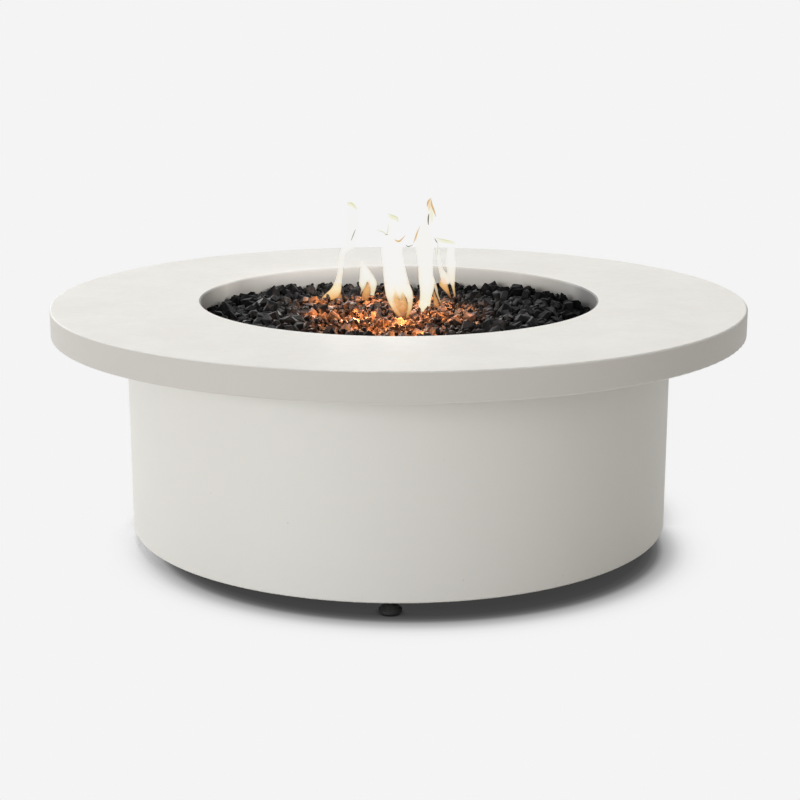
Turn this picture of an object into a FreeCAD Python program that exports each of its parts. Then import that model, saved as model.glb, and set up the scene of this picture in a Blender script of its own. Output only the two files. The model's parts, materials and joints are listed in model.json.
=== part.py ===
import FreeCAD, Part
import math
import os
import random
import Sketcher

# A round gas fire pit table: a cast concrete slab on a concrete drum, a drop-in burner pan
# with a ring burner under lava rock, and the gas controls and service door on the far side.
# Z is up, the floor is Z = 0 and the vertical axis of the table is the Z axis.
# The side seen by the viewer faces -Y. Stations round the drum are angles from +X.

Vector = FreeCAD.Vector

# Driving dimensions in millimetres and degrees.
SIZES = {
    # table top
    "table_height": 406.0,
    "slab_radius": 584.0,
    "edge_height": 46.0,
    "skirt_wall": 30.0,
    "plate_thickness": 22.0,
    "land_inner_share": 0.46,
    "land_outer_lap": 15.0,
    "opening_radius": 336.0,
    "collar_wall": 25.0,
    "collar_height": 68.0,
    "ledge_depth": 56.0,
    "ledge_width": 20.0,
    "top_rib_width": 20.0,
    "top_rib_lift": 3.0,
    "top_rib_count": 8,
    "slab_edge_round": 3.0,
    "opening_edge_round": 3.0,
    # drum
    "drum_radius": 460.0,
    "drum_wall": 25.0,
    "floor_gap": 23.0,
    "drum_edge_round": 3.0,
    "boss_width": 60.0,
    "boss_depth": 27.0,
    "boss_height": 45.0,
    # levelling feet
    "foot_count": 4,
    "foot_inset": 22.0,
    "foot_pad_radius": 17.8,
    "foot_pad_sole_radius": 14.0,
    "foot_pad_neck_radius": 8.5,
    "foot_pad_height": 16.0,
    "foot_pad_rim": 4.0,
    "foot_seat_clearance": 0.05,
    "stud_radius": 5.0,
    "stud_hex_flats": 15.0,
    "stud_hex_height": 5.0,
    "stud_engagement": 38.0,
    "stud_pin_length": 9.0,
    "thread_clearance": 0.05,
    "insert_wall": 3.0,
    "insert_length": 40.0,
    "insert_play": 0.1,
    # brackets that hold the slab on the drum
    "bracket_station": 45.0,
    "bracket_width": 50.0,
    "bracket_leg": 44.0,
    "bracket_sheet": 4.0,
    "bolt_radius": 4.0,
    "bolt_head_radius": 7.0,
    "bolt_head_height": 5.0,
    "bolt_grip": 16.0,
    "bolt_play": 0.1,
    # service door
    "door_station": 90.0,
    "door_half_angle": 20.0,
    "door_sill": 57.0,
    "door_head": 60.0,
    "door_thickness": 12.0,
    "door_gap": 2.0,
    "door_stop_gap": 0.5,
    "door_stop_width": 14.0,
    "magnet_radius": 5.0,
    "magnet_length": 10.0,
    "magnet_air_gap": 1.0,
    "magnet_play": 0.1,
    "striker_radius": 4.6,
    "striker_sheet": 1.5,
    "pull_inset": 36.0,
    "pull_length": 70.0,
    "pull_radius": 5.0,
    "pull_post_radius": 4.0,
    "pull_reach": 25.0,
    "hinge_height": 42.0,
    "hinge_spread": 140.0,
    "hinge_sheet": 2.0,
    "hinge_leaf_width": 28.0,
    "hinge_knuckle_radius": 5.0,
    "hinge_pin_radius": 2.5,
    "hinge_play": 0.05,
    "hinge_slit": 0.3,
    "hinge_offset": 4.0,
    # vents
    "vent_station": 15.0,
    "vent_half_angle": 7.0,
    "vent_lap": 10.0,
    "vent_rise": 142.0,
    "vent_opening_height": 70.0,
    "vent_slot_height": 6.0,
    "vent_slot_pitch": 12.0,
    "vent_slot_count": 5,
    "vent_sheet": 1.5,
    # control panel
    "panel_station": 50.0,
    "panel_half_angle": 8.0,
    "panel_lap": 9.0,
    "panel_height": 76.0,
    "panel_sheet": 1.5,
    "control_drop": 55.0,
    "valve_offset": 3.5,
    "igniter_offset": 5.0,
    "skin_gap": 0.3,
    "screw_radius": 2.0,
    "screw_head_radius": 4.0,
    "screw_head_height": 2.0,
    "screw_length": 14.0,
    "screw_play": 0.1,
    # gas valve and knob
    "valve_body_radius": 16.0,
    "valve_body_length": 88.0,
    "valve_thread_radius": 9.0,
    "valve_thread_play": 0.4,
    "valve_nut_flats": 24.0,
    "valve_nut_height": 4.0,
    "stem_radius": 4.0,
    "stem_play": 0.05,
    "push_travel": 4.0,
    "knob_skirt_radius": 21.0,
    "knob_grip_radius": 16.5,
    "knob_length": 24.0,
    "knob_bar_width": 10.0,
    "port_radius": 8.0,
    "port_inset": 2.0,
    "port_boss_height": 3.0,
    "port_nut_flats": 22.0,
    "port_nut_length": 20.0,
    # igniter
    "igniter_radius": 13.0,
    "igniter_length": 62.0,
    "igniter_thread_radius": 10.5,
    "igniter_nut_radius": 15.0,
    "button_radius": 8.2,
    "button_play": 0.05,
    "button_proud": 5.0,
    "terminal_length": 10.0,
    "lead_radius": 1.5,
    "lead_bend": 30.0,
    # burner pan
    "pan_depth": 60.0,
    "pan_sheet": 1.2,
    "pan_side_gap": 4.0,
    "flange_gap": 2.0,
    "drain_radius": 5.0,
    "drain_ring_radius": 250.0,
    "rock_side_gap": 0.3,
    "rock_bed_drop": 48.0,
    "rock_roof": 22.0,
    "rock_cavity_radius": 195.0,
    "rock_height": 18.0,
    "rock_reach_large": 16.5,
    "rock_reach_middle": 12.5,
    "rock_reach_small": 9.0,
    "rock_tries_large": 1600,
    "rock_tries_middle": 3000,
    "rock_tries_small": 5000,
    # burner
    "ring_radius": 140.0,
    "small_ring_radius": 76.0,
    "tube_radius": 9.5,
    "tube_wall": 1.5,
    "tube_lift": 14.0,
    "flame_port_radius": 1.2,
    "ring_port_count": 24,
    "small_ring_port_count": 12,
    "hub_radius": 16.0,
    "hub_height": 28.0,
    "nipple_radius": 10.6,
    "nipple_wall": 2.7,
    "nipple_play": 0.1,
    "nipple_in_hub": 8.0,
    "nipple_drop": 42.0,
    "locknut_flats": 30.0,
    "locknut_height": 10.0,
    "mixer_radius": 13.5,
    "mixer_length": 57.0,
    "mixer_lap": 14.0,
    "mixer_air_hole_radius": 3.5,
    # spark electrode and thermocouple
    "electrode_distance": 170.0,
    "insulator_radius": 4.5,
    "insulator_height": 38.0,
    "electrode_wire_radius": 1.2,
    "sensor_distance": 165.0,
    "sensor_radius": 2.5,
    "sensor_length": 24.0,
    "sensor_lead_bend": 20.0,
    "sensor_lead_drop": 8.0,
    "holder_sheet": 1.5,
    # gas hoses and shut-off valve
    "hose_radius": 8.0,
    "hose_bend": 80.0,
    "hose_low_bend": 90.0,
    "hose_first_run": 22.0,
    "hose_slope": 50.0,
    "supply_radius": 7.0,
    "supply_bend": 70.0,
    "supply_run": 12.0,
    "inlet_fitting_length": 32.0,
    "flare_radius": 7.94,
    "flare_length": 16.0,
    "shutoff_drop": 99.0,
    "shutoff_length": 60.0,
    "shutoff_radius": 13.0,
    "shutoff_ball_radius": 17.0,
    "shutoff_stem_radius": 4.0,
    "lever_length": 68.0,
    "lever_width": 14.0,
    "lever_sheet": 3.0,
    "clamp_sheet": 3.0,
    "clamp_height": 12.0,
    "clamp_wall": 4.0,
}


class Size:
    """A number together with the expression that ties it to the sheet of sizes."""

    def __init__(self, value, text):
        self.value = value
        self.text = text

    def __add__(self, other):
        other = size_of(other)
        return Size(self.value + other.value, "(%s + %s)" % (self.text, other.text))

    def __sub__(self, other):
        other = size_of(other)
        return Size(self.value - other.value, "(%s - %s)" % (self.text, other.text))

    def __mul__(self, other):
        other = size_of(other)
        return Size(self.value * other.value, "(%s * %s)" % (self.text, other.text))

    def __truediv__(self, other):
        other = size_of(other)
        return Size(self.value / other.value, "(%s / %s)" % (self.text, other.text))

    def __radd__(self, other):
        return size_of(other) + self

    def __rsub__(self, other):
        return size_of(other) - self

    def __rmul__(self, other):
        return size_of(other) * self

    def __neg__(self):
        return size_of(0) - self


def size_of(number):
    if isinstance(number, Size):
        return number
    return Size(float(number), "%.6g" % number)


def cosine(angle):
    return Size(math.cos(math.radians(angle.value)), "cos(%s)" % angle.text)


def sine(angle):
    return Size(math.sin(math.radians(angle.value)), "sin(%s)" % angle.text)


def root(number):
    return Size(math.sqrt(number.value), "sqrt(%s)" % number.text)


def arc_angle(length, radius):
    """The angle that an arc of this length covers on a circle of this radius."""
    return length / radius * 57.29577951


doc = FreeCAD.newDocument("FirePitTable")
sheet = doc.addObject("Spreadsheet::Sheet", "Sizes")


class Names:
    pass


d = Names()
for row, (alias, number) in enumerate(SIZES.items(), start=1):
    sheet.set("A%d" % row, alias.replace("_", " "))
    sheet.set("B%d" % row, "%g" % number)
    sheet.setAlias("B%d" % row, alias)
    setattr(d, alias, Size(float(number), "Sizes." + alias))
doc.recompute()

pieces = []


class Piece:
    """One separate piece of the table: a body made of sketched features.

    A feature can be set at a station, an angle round the vertical axis. There x points away
    from the axis, y points anticlockwise and z is the height.
    """

    def __init__(self, label, station=None):
        self.label = label
        self.body = doc.addObject("PartDesign::Body", label)
        self.body.Label = label
        self.feature = None
        self.station = station
        pieces.append(self.body)

    def origin(self, role):
        for feature in self.body.Origin.OriginFeatures:
            if feature.Role == role:
                return feature
        raise RuntimeError("no " + role)

    def sketch(self, role, shift=(0, 0, 0), station=None):
        sketch = self.body.newObject("Sketcher::SketchObject", self.label + "_sketch")
        sketch.AttachmentSupport = [(self.origin(role), "")]
        sketch.MapMode = "FlatFace"
        x, y, z = [size_of(s) for s in shift]
        if station is not None:
            upright = Vector(0, 0, 1) if role == "XY_Plane" else Vector(0, 1, 0)
            turn = FreeCAD.Rotation(upright, station.value)
            sketch.AttachmentOffset = FreeCAD.Placement(Vector(0, 0, 0), turn)
            sketch.setExpression("AttachmentOffset.Rotation.Angle", station.text)
            if role == "XY_Plane":
                x, y = x * cosine(station) - y * sine(station), x * sine(station) + y * cosine(station)
            else:
                x, z = x * cosine(station) + z * sine(station), z * cosine(station) - x * sine(station)
        for axis, distance in zip("xyz", (x, y, z)):
            if distance.text != "0":
                sketch.setExpression("AttachmentOffset.Base." + axis, distance.text)
        return sketch

    def polygon(self, sketch, points):
        points = [(size_of(x), size_of(y)) for x, y in points]
        count = len(points)
        lines = []
        for i in range(count):
            start = Vector(points[i][0].value, points[i][1].value, 0)
            end = Vector(points[(i + 1) % count][0].value, points[(i + 1) % count][1].value, 0)
            lines.append(Part.LineSegment(start, end))
        first = sketch.GeometryCount
        sketch.addGeometry(lines, False)
        joints = []
        for i in range(count):
            joints.append(Sketcher.Constraint("Coincident", first + i, 2, first + (i + 1) % count, 1))
        sketch.addConstraint(joints)
        for i, (x, y) in enumerate(points):
            self.pin_point(sketch, first + i, 1, x, y)

    def pin_point(self, sketch, item, end, x, y):
        for kind, axis, distance in (("DistanceX", -2, x), ("DistanceY", -1, y)):
            if distance.text == "0":
                sketch.addConstraint(Sketcher.Constraint("PointOnObject", item, end, axis))
            else:
                index = sketch.addConstraint(Sketcher.Constraint(kind, -1, 1, item, end, distance.value))
                sketch.setExpression("Constraints[%d]" % index, distance.text)

    def circle(self, sketch, radius, x=0, y=0):
        x, y = size_of(x), size_of(y)
        centre = Vector(x.value, y.value, 0)
        item = sketch.addGeometry(Part.Circle(centre, Vector(0, 0, 1), radius.value), False)
        index = sketch.addConstraint(Sketcher.Constraint("Radius", item, radius.value))
        sketch.setExpression("Constraints[%d]" % index, radius.text)
        self.pin_point(sketch, item, 3, x, y)

    def hexagon(self, sketch, flats, x=0, y=0):
        x, y = size_of(x), size_of(y)
        points = []
        for i in range(6):
            angle = math.radians(30 + 60 * i)
            reach = flats / (2 * math.cos(math.radians(30)))
            points.append((x + reach * math.cos(angle), y + reach * math.sin(angle)))
        self.polygon(sketch, points)

    def add(self, kind, sketch):
        before = self.feature.Shape.Volume if self.feature else 0.0
        feature = self.body.newObject("PartDesign::" + kind, self.label + "_" + kind.lower())
        feature.Profile = sketch
        self.feature = feature
        self.before = before
        return feature

    def settle(self, removes):
        doc.recompute()
        volume = self.feature.Shape.Volume
        if removes and volume > self.before - 1e-6:
            raise RuntimeError("%s: %s cut nothing" % (self.label, self.feature.Name))
        if not removes and volume < self.before + 1e-6:
            raise RuntimeError("%s: %s added nothing" % (self.label, self.feature.Name))

    def turned(self, points, axis="V_Axis", shift=(0, 0, 0), station=None, angle=None, cut=False):
        """Turns a profile of (x, z) points about the upright or the level axis of its sketch."""
        sketch = self.sketch("XZ_Plane", shift, station)
        self.polygon(sketch, points)
        return self.turn_sketch(sketch, axis, angle, cut)

    def turn_sketch(self, sketch, axis="V_Axis", angle=None, cut=False):
        feature = self.add("Groove" if cut else "Revolution", sketch)
        feature.ReferenceAxis = (sketch, [axis])
        if angle is not None:
            feature.Midplane = True
            feature.setExpression("Angle", angle.text)
        self.settle(cut)
        return feature

    def extrude(self, sketch, length, cut=False):
        feature = self.add("Pocket" if cut else "Pad", sketch)
        feature.setExpression("Length", length.text)
        feature.Reversed = cut
        self.settle(cut)
        return feature

    def plane_sketch(self, axis, start, end, station):
        """A sketch square to the axis, from which the feature grows towards the axis's end.

        On the sketch the two coordinates are (y, z) for axis x, (x, z) for axis y and
        (x, y) for axis z.
        """
        start, end = size_of(start), size_of(end)
        role = {"x": "YZ_Plane", "y": "XZ_Plane", "z": "XY_Plane"}[axis]
        level = -end if axis == "y" else start
        return self.sketch(role, (0, 0, level), station), end - start

    def rod(self, axis, radius, centre, start, end, station=None, cut=False):
        sketch, length = self.plane_sketch(axis, start, end, station)
        self.circle(sketch, size_of(radius), *centre)
        return self.extrude(sketch, length, cut)

    def hex_rod(self, axis, flats, centre, start, end, station=None, cut=False):
        sketch, length = self.plane_sketch(axis, start, end, station)
        self.hexagon(sketch, flats, *centre)
        return self.extrude(sketch, length, cut)

    def pipe(self, axis, outer, inner, centre, start, end, station=None):
        sketch, length = self.plane_sketch(axis, start, end, station)
        self.circle(sketch, size_of(outer), *centre)
        self.circle(sketch, size_of(inner), *centre)
        return self.extrude(sketch, length)

    def nut(self, axis, flats, bore, centre, start, end, station=None):
        sketch, length = self.plane_sketch(axis, start, end, station)
        self.hexagon(sketch, flats, *centre)
        self.circle(sketch, size_of(bore), *centre)
        return self.extrude(sketch, length)

    def block(self, xs, ys, zs, station=None, cut=False):
        sketch, length = self.plane_sketch("z", zs[0], zs[1], station)
        corners = [(xs[0], ys[0]), (xs[1], ys[0]), (xs[1], ys[1]), (xs[0], ys[1])]
        self.polygon(sketch, corners)
        return self.extrude(sketch, length, cut)

    def repeat(self, features, count):
        """Repeats features about the vertical axis."""
        before = self.feature.Shape.Volume
        pattern = self.body.newObject("PartDesign::PolarPattern", self.label + "_pattern")
        pattern.Originals = features
        pattern.Axis = (self.origin("Z_Axis"), [""])
        pattern.Angle = 360
        pattern.setExpression("Occurrences", count.text)
        self.body.Tip = pattern
        self.feature = pattern
        doc.recompute()
        if abs(pattern.Shape.Volume - before) < 1e-6 and count.value > 1:
            raise RuntimeError("%s: pattern changed nothing" % self.label)

    def soften(self, rings, radius):
        """Rounds the circular edges given as (radius, height)."""
        names = []
        for index, edge in enumerate(self.feature.Shape.Edges, start=1):
            if not isinstance(edge.Curve, Part.Circle):
                continue
            for ring_radius, height in rings:
                same_radius = abs(edge.Curve.Radius - size_of(ring_radius).value) < 0.01
                if same_radius and abs(edge.Curve.Center.z - size_of(height).value) < 0.01:
                    names.append("Edge%d" % index)
        if not names:
            raise RuntimeError(self.label + ": no edge to round")
        fillet = self.body.newObject("PartDesign::Fillet", self.label + "_fillet")
        fillet.Base = (self.feature, names)
        fillet.setExpression("Radius", radius.text)
        self.feature = fillet
        doc.recompute()

    def done(self):
        if self.station is not None:
            self.body.Placement = FreeCAD.Placement(
                Vector(0, 0, 0), FreeCAD.Rotation(Vector(0, 0, 1), self.station.value)
            )
            self.body.setExpression("Placement.Rotation.Angle", self.station.text)
            doc.recompute()
        return self.body


# Levels and radii that several pieces share.
top_level = d.table_height
drum_top = d.table_height - d.edge_height
plate_under = d.table_height - d.plate_thickness
ledge_level = d.table_height - d.ledge_depth
collar_under = d.table_height - d.collar_height
drum_inner = d.drum_radius - d.drum_wall
foot_radius = d.drum_radius - d.foot_inset
collar_outer = d.opening_radius + d.collar_wall
land_inner_radius = collar_outer + (drum_inner - collar_outer) * d.land_inner_share
land_outer_radius = d.drum_radius + d.land_outer_lap
vent_centre_level = d.floor_gap + d.vent_rise

pan_radius = d.opening_radius - d.ledge_width - d.pan_side_gap
pan_under = ledge_level - d.pan_depth
pan_floor = pan_under + d.pan_sheet
control_height = pan_under - d.control_drop
shutoff_high = control_height - d.shutoff_drop
shutoff_low = shutoff_high - d.shutoff_length

valve_station = d.panel_station - d.valve_offset
igniter_station = d.panel_station + d.igniter_offset
panel_inner = d.drum_radius + d.skin_gap
panel_outer = panel_inner + d.panel_sheet
control_face = d.drum_radius - d.skin_gap
valve_back = control_face - d.valve_body_length
port_x = valve_back + d.valve_body_radius + d.port_inset
port_face = d.valve_body_radius + d.port_boss_height
nut_start = panel_outer + d.skin_gap
nut_end = nut_start + d.valve_nut_height
thread_end = nut_end + d.skin_gap

bracket_outer = root(drum_inner * drum_inner - d.bracket_width * d.bracket_width / 4) - d.skin_gap / 3
bracket_top_bolt_radius = bracket_outer - d.bracket_leg / 2
bracket_wall_bolt_level = drum_top - d.bracket_leg / 2
bolt_hole = d.bolt_radius + d.bolt_play
half = d.bracket_width / 2

door_low = d.floor_gap + d.door_sill
door_high = drum_top - d.door_head
door_stop_radius = d.drum_radius - d.door_thickness - d.door_stop_gap
door_inner_radius = d.drum_radius - d.door_thickness
stop_angle = arc_angle(d.door_stop_width, d.drum_radius)
gap_angle = arc_angle(d.door_gap, d.drum_radius)
door_mid = (door_low + door_high) / 2
magnet_station = d.door_station - d.door_half_angle + (stop_angle + gap_angle) / 2
magnet_front = door_inner_radius + d.skin_gap - d.magnet_air_gap

hinge_station = d.door_station + d.door_half_angle + arc_angle(d.hinge_offset, d.drum_radius)
hinge_axis_radius = d.drum_radius + d.hinge_knuckle_radius + d.skin_gap
hinge_levels = [door_mid - d.hinge_spread / 2, door_mid + d.hinge_spread / 2]

screw_hole = d.screw_radius + d.screw_play


def cut_for_screw(piece, station, level):
    piece.rod("x", screw_hole, (0, level), d.drum_radius - d.screw_length, d.drum_radius + 2, station, True)


def panel_screw_places():
    half_height = d.panel_height / 2 + d.panel_lap / 2
    reach = d.panel_half_angle + arc_angle(d.panel_lap / 2, d.drum_radius)
    places = []
    for side in (-1, 1):
        for rise in (-1, 1):
            places.append((d.panel_station + side * reach, control_height + rise * half_height))
    return places


def vent_screw_places(station):
    half_height = d.vent_opening_height / 2 + d.vent_lap / 2
    reach = d.vent_half_angle + arc_angle(d.vent_lap / 2, d.drum_radius)
    places = []
    for side in (-1, 1):
        for rise in (-1, 1):
            places.append((station + side * reach, vent_centre_level + rise * half_height))
    return places


vent_stations = [d.vent_station, 180 - d.vent_station]


# Table top: cast slab with a hollow underside.
def make_table_top():
    top = Piece("table_top")
    skirt_inner = d.slab_radius - d.skirt_wall
    ledge_radius = d.opening_radius - d.ledge_width
    top.turned([
        (d.opening_radius, top_level),
        (d.slab_radius, top_level),
        (d.slab_radius, drum_top),
        (skirt_inner, drum_top),
        (skirt_inner, plate_under),
        (land_outer_radius, plate_under),
        (land_outer_radius, drum_top),
        (land_inner_radius, drum_top),
        (land_inner_radius, plate_under),
        (collar_outer, plate_under),
        (collar_outer, collar_under),
        (ledge_radius, collar_under),
        (ledge_radius, ledge_level),
        (d.opening_radius, ledge_level),
    ])
    rib = top.block(
        (collar_outer - 2, skirt_inner + 2),
        (-d.top_rib_width / 2, d.top_rib_width / 2),
        (drum_top + d.top_rib_lift, plate_under + 1),
        d.bracket_station / 2,
    )
    top.repeat([rib], d.top_rib_count)
    hole = top.rod(
        "z", bolt_hole, (bracket_top_bolt_radius, 0), drum_top - 1,
        drum_top + d.bolt_grip + 1, d.bracket_station, True,
    )
    top.repeat([hole], d.foot_count)
    top.soften([(d.slab_radius, top_level), (d.slab_radius, drum_top)], d.slab_edge_round)
    top.soften([(d.opening_radius, top_level)], d.opening_edge_round)
    return top.done()


# Drum: cast tube with foot bosses, a door opening, a control opening and two vents.
def make_base_drum():
    drum = Piece("base_drum")
    drum.turned([
        (drum_inner, d.floor_gap),
        (d.drum_radius, d.floor_gap),
        (d.drum_radius, drum_top),
        (drum_inner, drum_top),
    ])
    drum.soften([(d.drum_radius, d.floor_gap)], d.drum_edge_round)
    boss = drum.block(
        (drum_inner - d.boss_depth, drum_inner + d.drum_wall / 8),
        (-d.boss_width / 2, d.boss_width / 2),
        (d.floor_gap, d.floor_gap + d.boss_height),
    )
    drum.repeat([boss], d.foot_count)
    seat = drum.rod(
        "z", d.stud_radius + d.insert_wall + d.insert_play, (foot_radius, 0),
        d.floor_gap - 1, d.floor_gap + d.insert_length + 1, None, True,
    )
    drum.repeat([seat], d.foot_count)
    bolt = drum.rod(
        "x", bolt_hole, (0, bracket_wall_bolt_level), drum_inner - 2,
        bracket_outer + d.bolt_grip + 1, d.bracket_station, True,
    )
    drum.repeat([bolt], d.foot_count)
    drum.turned([
        (door_stop_radius, door_low),
        (d.drum_radius + 5, door_low),
        (d.drum_radius + 5, door_high),
        (door_stop_radius, door_high),
    ], station=d.door_station, angle=2 * d.door_half_angle, cut=True)
    drum.turned([
        (drum_inner - 5, door_low + d.door_stop_width),
        (d.drum_radius + 5, door_low + d.door_stop_width),
        (d.drum_radius + 5, door_high - d.door_stop_width),
        (drum_inner - 5, door_high - d.door_stop_width),
    ], station=d.door_station, angle=2 * (d.door_half_angle - stop_angle), cut=True)
    drum.turned([
        (drum_inner - 5, control_height - d.panel_height / 2),
        (d.drum_radius + 5, control_height - d.panel_height / 2),
        (d.drum_radius + 5, control_height + d.panel_height / 2),
        (drum_inner - 5, control_height + d.panel_height / 2),
    ], station=d.panel_station, angle=2 * d.panel_half_angle, cut=True)
    for station in vent_stations:
        drum.turned([
            (drum_inner - 5, vent_centre_level - d.vent_opening_height / 2),
            (d.drum_radius + 5, vent_centre_level - d.vent_opening_height / 2),
            (d.drum_radius + 5, vent_centre_level + d.vent_opening_height / 2),
            (drum_inner - 5, vent_centre_level + d.vent_opening_height / 2),
        ], station=station, angle=2 * d.vent_half_angle, cut=True)
        for place in vent_screw_places(station):
            cut_for_screw(drum, *place)
    for place in panel_screw_places():
        cut_for_screw(drum, *place)
    for level in hinge_levels:
        for rise in (-1, 1):
            cut_for_screw(drum, drum_leaf_station, level + rise * d.hinge_height / 3)
    drum.rod(
        "x", d.magnet_radius + d.magnet_play, (0, door_mid), magnet_front - d.magnet_length - d.magnet_play,
        door_stop_radius + 2, magnet_station, True,
    )
    return drum.done()


# Levelling feet.
def foot_station(index):
    return size_of(index) * 360 / d.foot_count + 360


def make_feet():
    seat_level = d.foot_pad_height
    hex_low = seat_level + d.foot_seat_clearance
    hex_high = hex_low + d.stud_hex_height
    stud_top = d.floor_gap + d.stud_engagement
    pin_low = hex_low - d.stud_pin_length
    for index in range(int(d.foot_count.value)):
        station = foot_station(index)
        pad = Piece("foot_pad_%d" % (index + 1), station)
        pin_hole = d.stud_radius
        pad.turned([
            (0, 0),
            (d.foot_pad_sole_radius, 0),
            (d.foot_pad_radius, d.foot_pad_rim),
            (d.foot_pad_radius, 2 * d.foot_pad_rim),
            (d.foot_pad_neck_radius, seat_level),
            (pin_hole, seat_level),
            (pin_hole, pin_low - 0.5),
            (0, pin_low - 0.5),
        ], shift=(foot_radius, 0, 0))
        pad.done()
        stud = Piece("foot_stud_%d" % (index + 1), station)
        stud.rod("z", d.stud_radius - d.thread_clearance, (foot_radius, 0), pin_low, hex_low)
        stud.hex_rod("z", d.stud_hex_flats, (foot_radius, 0), hex_low, hex_high)
        stud.rod("z", d.stud_radius, (foot_radius, 0), hex_high, stud_top)
        stud.done()
    inserts = Piece("foot_inserts")
    insert = inserts.pipe(
        "z", d.stud_radius + d.insert_wall, d.stud_radius + d.thread_clearance, (foot_radius, 0),
        d.floor_gap, d.floor_gap + d.insert_length,
    )
    inserts.repeat([insert], d.foot_count)
    inserts.done()


# Angle brackets and their bolts.
def make_brackets():
    brackets = Piece("slab_brackets")
    leg_end = bracket_outer - d.bracket_leg
    level_leg = brackets.block(
        (leg_end, bracket_outer), (-half, half), (drum_top - d.bracket_sheet, drum_top), d.bracket_station,
    )
    upright_leg = brackets.block(
        (bracket_outer - d.bracket_sheet, bracket_outer), (-half, half),
        (drum_top - d.bracket_leg, drum_top), d.bracket_station,
    )
    slab_hole = brackets.rod(
        "z", bolt_hole, (bracket_top_bolt_radius, 0), drum_top - d.bracket_sheet - 1,
        drum_top + 1, d.bracket_station, True,
    )
    wall_hole = brackets.rod(
        "x", bolt_hole, (0, bracket_wall_bolt_level), bracket_outer - d.bracket_sheet - 1,
        bracket_outer + 1, d.bracket_station, True,
    )
    brackets.repeat([level_leg, upright_leg, slab_hole, wall_hole], d.foot_count)
    brackets.done()

    bolts = Piece("bracket_bolts")
    under = drum_top - d.bracket_sheet
    inside = bracket_outer - d.bracket_sheet
    features = [
        bolts.rod("z", d.bolt_head_radius, (bracket_top_bolt_radius, 0), under - d.bolt_head_height,
                  under, d.bracket_station),
        bolts.rod("z", d.bolt_radius, (bracket_top_bolt_radius, 0), under, drum_top + d.bolt_grip,
                  d.bracket_station),
        bolts.rod("x", d.bolt_head_radius, (0, bracket_wall_bolt_level), inside - d.bolt_head_height,
                  inside, d.bracket_station),
        bolts.rod("x", d.bolt_radius, (0, bracket_wall_bolt_level), inside, bracket_outer + d.bolt_grip,
                  d.bracket_station),
    ]
    bolts.repeat(features, d.foot_count)
    bolts.done()


# Service door with its hinges, pull and magnetic catch.
leaf_angle = arc_angle(d.hinge_leaf_width / 2 + d.hinge_knuckle_radius, d.drum_radius)
drum_leaf_station = hinge_station + leaf_angle
door_leaf_station = hinge_station - leaf_angle


def make_door():
    door = Piece("access_door")
    leaf_angle_total = 2 * (d.door_half_angle - gap_angle)
    door.turned([
        (door_inner_radius, door_low + d.door_gap),
        (d.drum_radius, door_low + d.door_gap),
        (d.drum_radius, door_high - d.door_gap),
        (door_inner_radius, door_high - d.door_gap),
    ], station=d.door_station, angle=leaf_angle_total)
    door.rod(
        "x", d.striker_radius + d.magnet_play, (0, door_mid), door_inner_radius - 1,
        door_inner_radius + d.skin_gap + d.striker_sheet + d.magnet_play, magnet_station, True,
    )
    for level in hinge_levels:
        for rise in (-1, 1):
            door.rod("x", screw_hole, (0, level + rise * d.hinge_height / 3),
                     d.drum_radius - d.door_thickness * 0.75, d.drum_radius + 2, door_leaf_station, True)
    door.done()

    striker = Piece("door_striker", magnet_station)
    striker_back = door_inner_radius + d.skin_gap
    striker.rod("x", d.striker_radius, (0, door_mid), striker_back, striker_back + d.striker_sheet)
    striker.done()

    magnet = Piece("door_magnet", magnet_station)
    magnet.rod("x", d.magnet_radius, (0, door_mid), magnet_front - d.magnet_length, magnet_front)
    magnet.done()

    pull_angle = arc_angle(d.pull_inset, d.drum_radius)
    pull = Piece("door_pull", d.door_station - d.door_half_angle + pull_angle)
    bar_axis = d.drum_radius + d.pull_reach
    post_levels = (door_mid - d.pull_length / 2 + d.pull_radius, door_mid + d.pull_length / 2 - d.pull_radius)
    pull.rod("z", d.pull_radius, (bar_axis, 0), door_mid - d.pull_length / 2, door_mid + d.pull_length / 2)
    for level in post_levels:
        pull.rod("x", d.pull_post_radius, (0, level), d.drum_radius, bar_axis)
    pull.done()


def make_hinges():
    reach = d.hinge_knuckle_radius
    slit = d.hinge_slit
    bore = d.hinge_pin_radius + d.hinge_play
    third = d.hinge_height / 3
    sheet_low = d.drum_radius + d.skin_gap / 6
    sheet_high = sheet_low + d.hinge_sheet
    leaf_half = d.hinge_leaf_width / 2
    for name, level in zip(("lower", "upper"), hinge_levels):
        low, high = level - d.hinge_height / 2, level + d.hinge_height / 2
        outer_ranges = [(low, low + third - slit), (high - third + slit, high)]
        inner_ranges = [(low + third, high - third)]
        for side, station, ranges, sign in (
            ("drum", drum_leaf_station, outer_ranges, 1),
            ("door", door_leaf_station, inner_ranges, -1),
        ):
            leaf = Piece("hinge_%s_%s_leaf" % (name, side))
            leaf.block((sheet_low, sheet_high), (-leaf_half, leaf_half), (low, high), station)
            for start, end in ranges:
                tab = sorted([sign * (-leaf_half - reach), sign * (-leaf_half + 1)], key=lambda y: y.value)
                leaf.block((sheet_low, sheet_high), tab, (start, end), station)
                leaf.rod("z", reach, (hinge_axis_radius, 0), start, end, hinge_station)
                leaf.rod("z", bore, (hinge_axis_radius, 0), start - 1, end + 1, hinge_station, True)
            for rise in (-1, 1):
                leaf.rod("x", screw_hole, (0, level + rise * third), sheet_low - 1, sheet_high + 1,
                         station, True)
            leaf.done()
        pin = Piece("hinge_%s_pin" % name, hinge_station)
        pin.rod("z", d.hinge_pin_radius, (hinge_axis_radius, 0), low, high)
        pin.rod("z", d.hinge_pin_radius * 1.4, (hinge_axis_radius, 0), high, high + d.hinge_sheet)
        pin.done()


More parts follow.
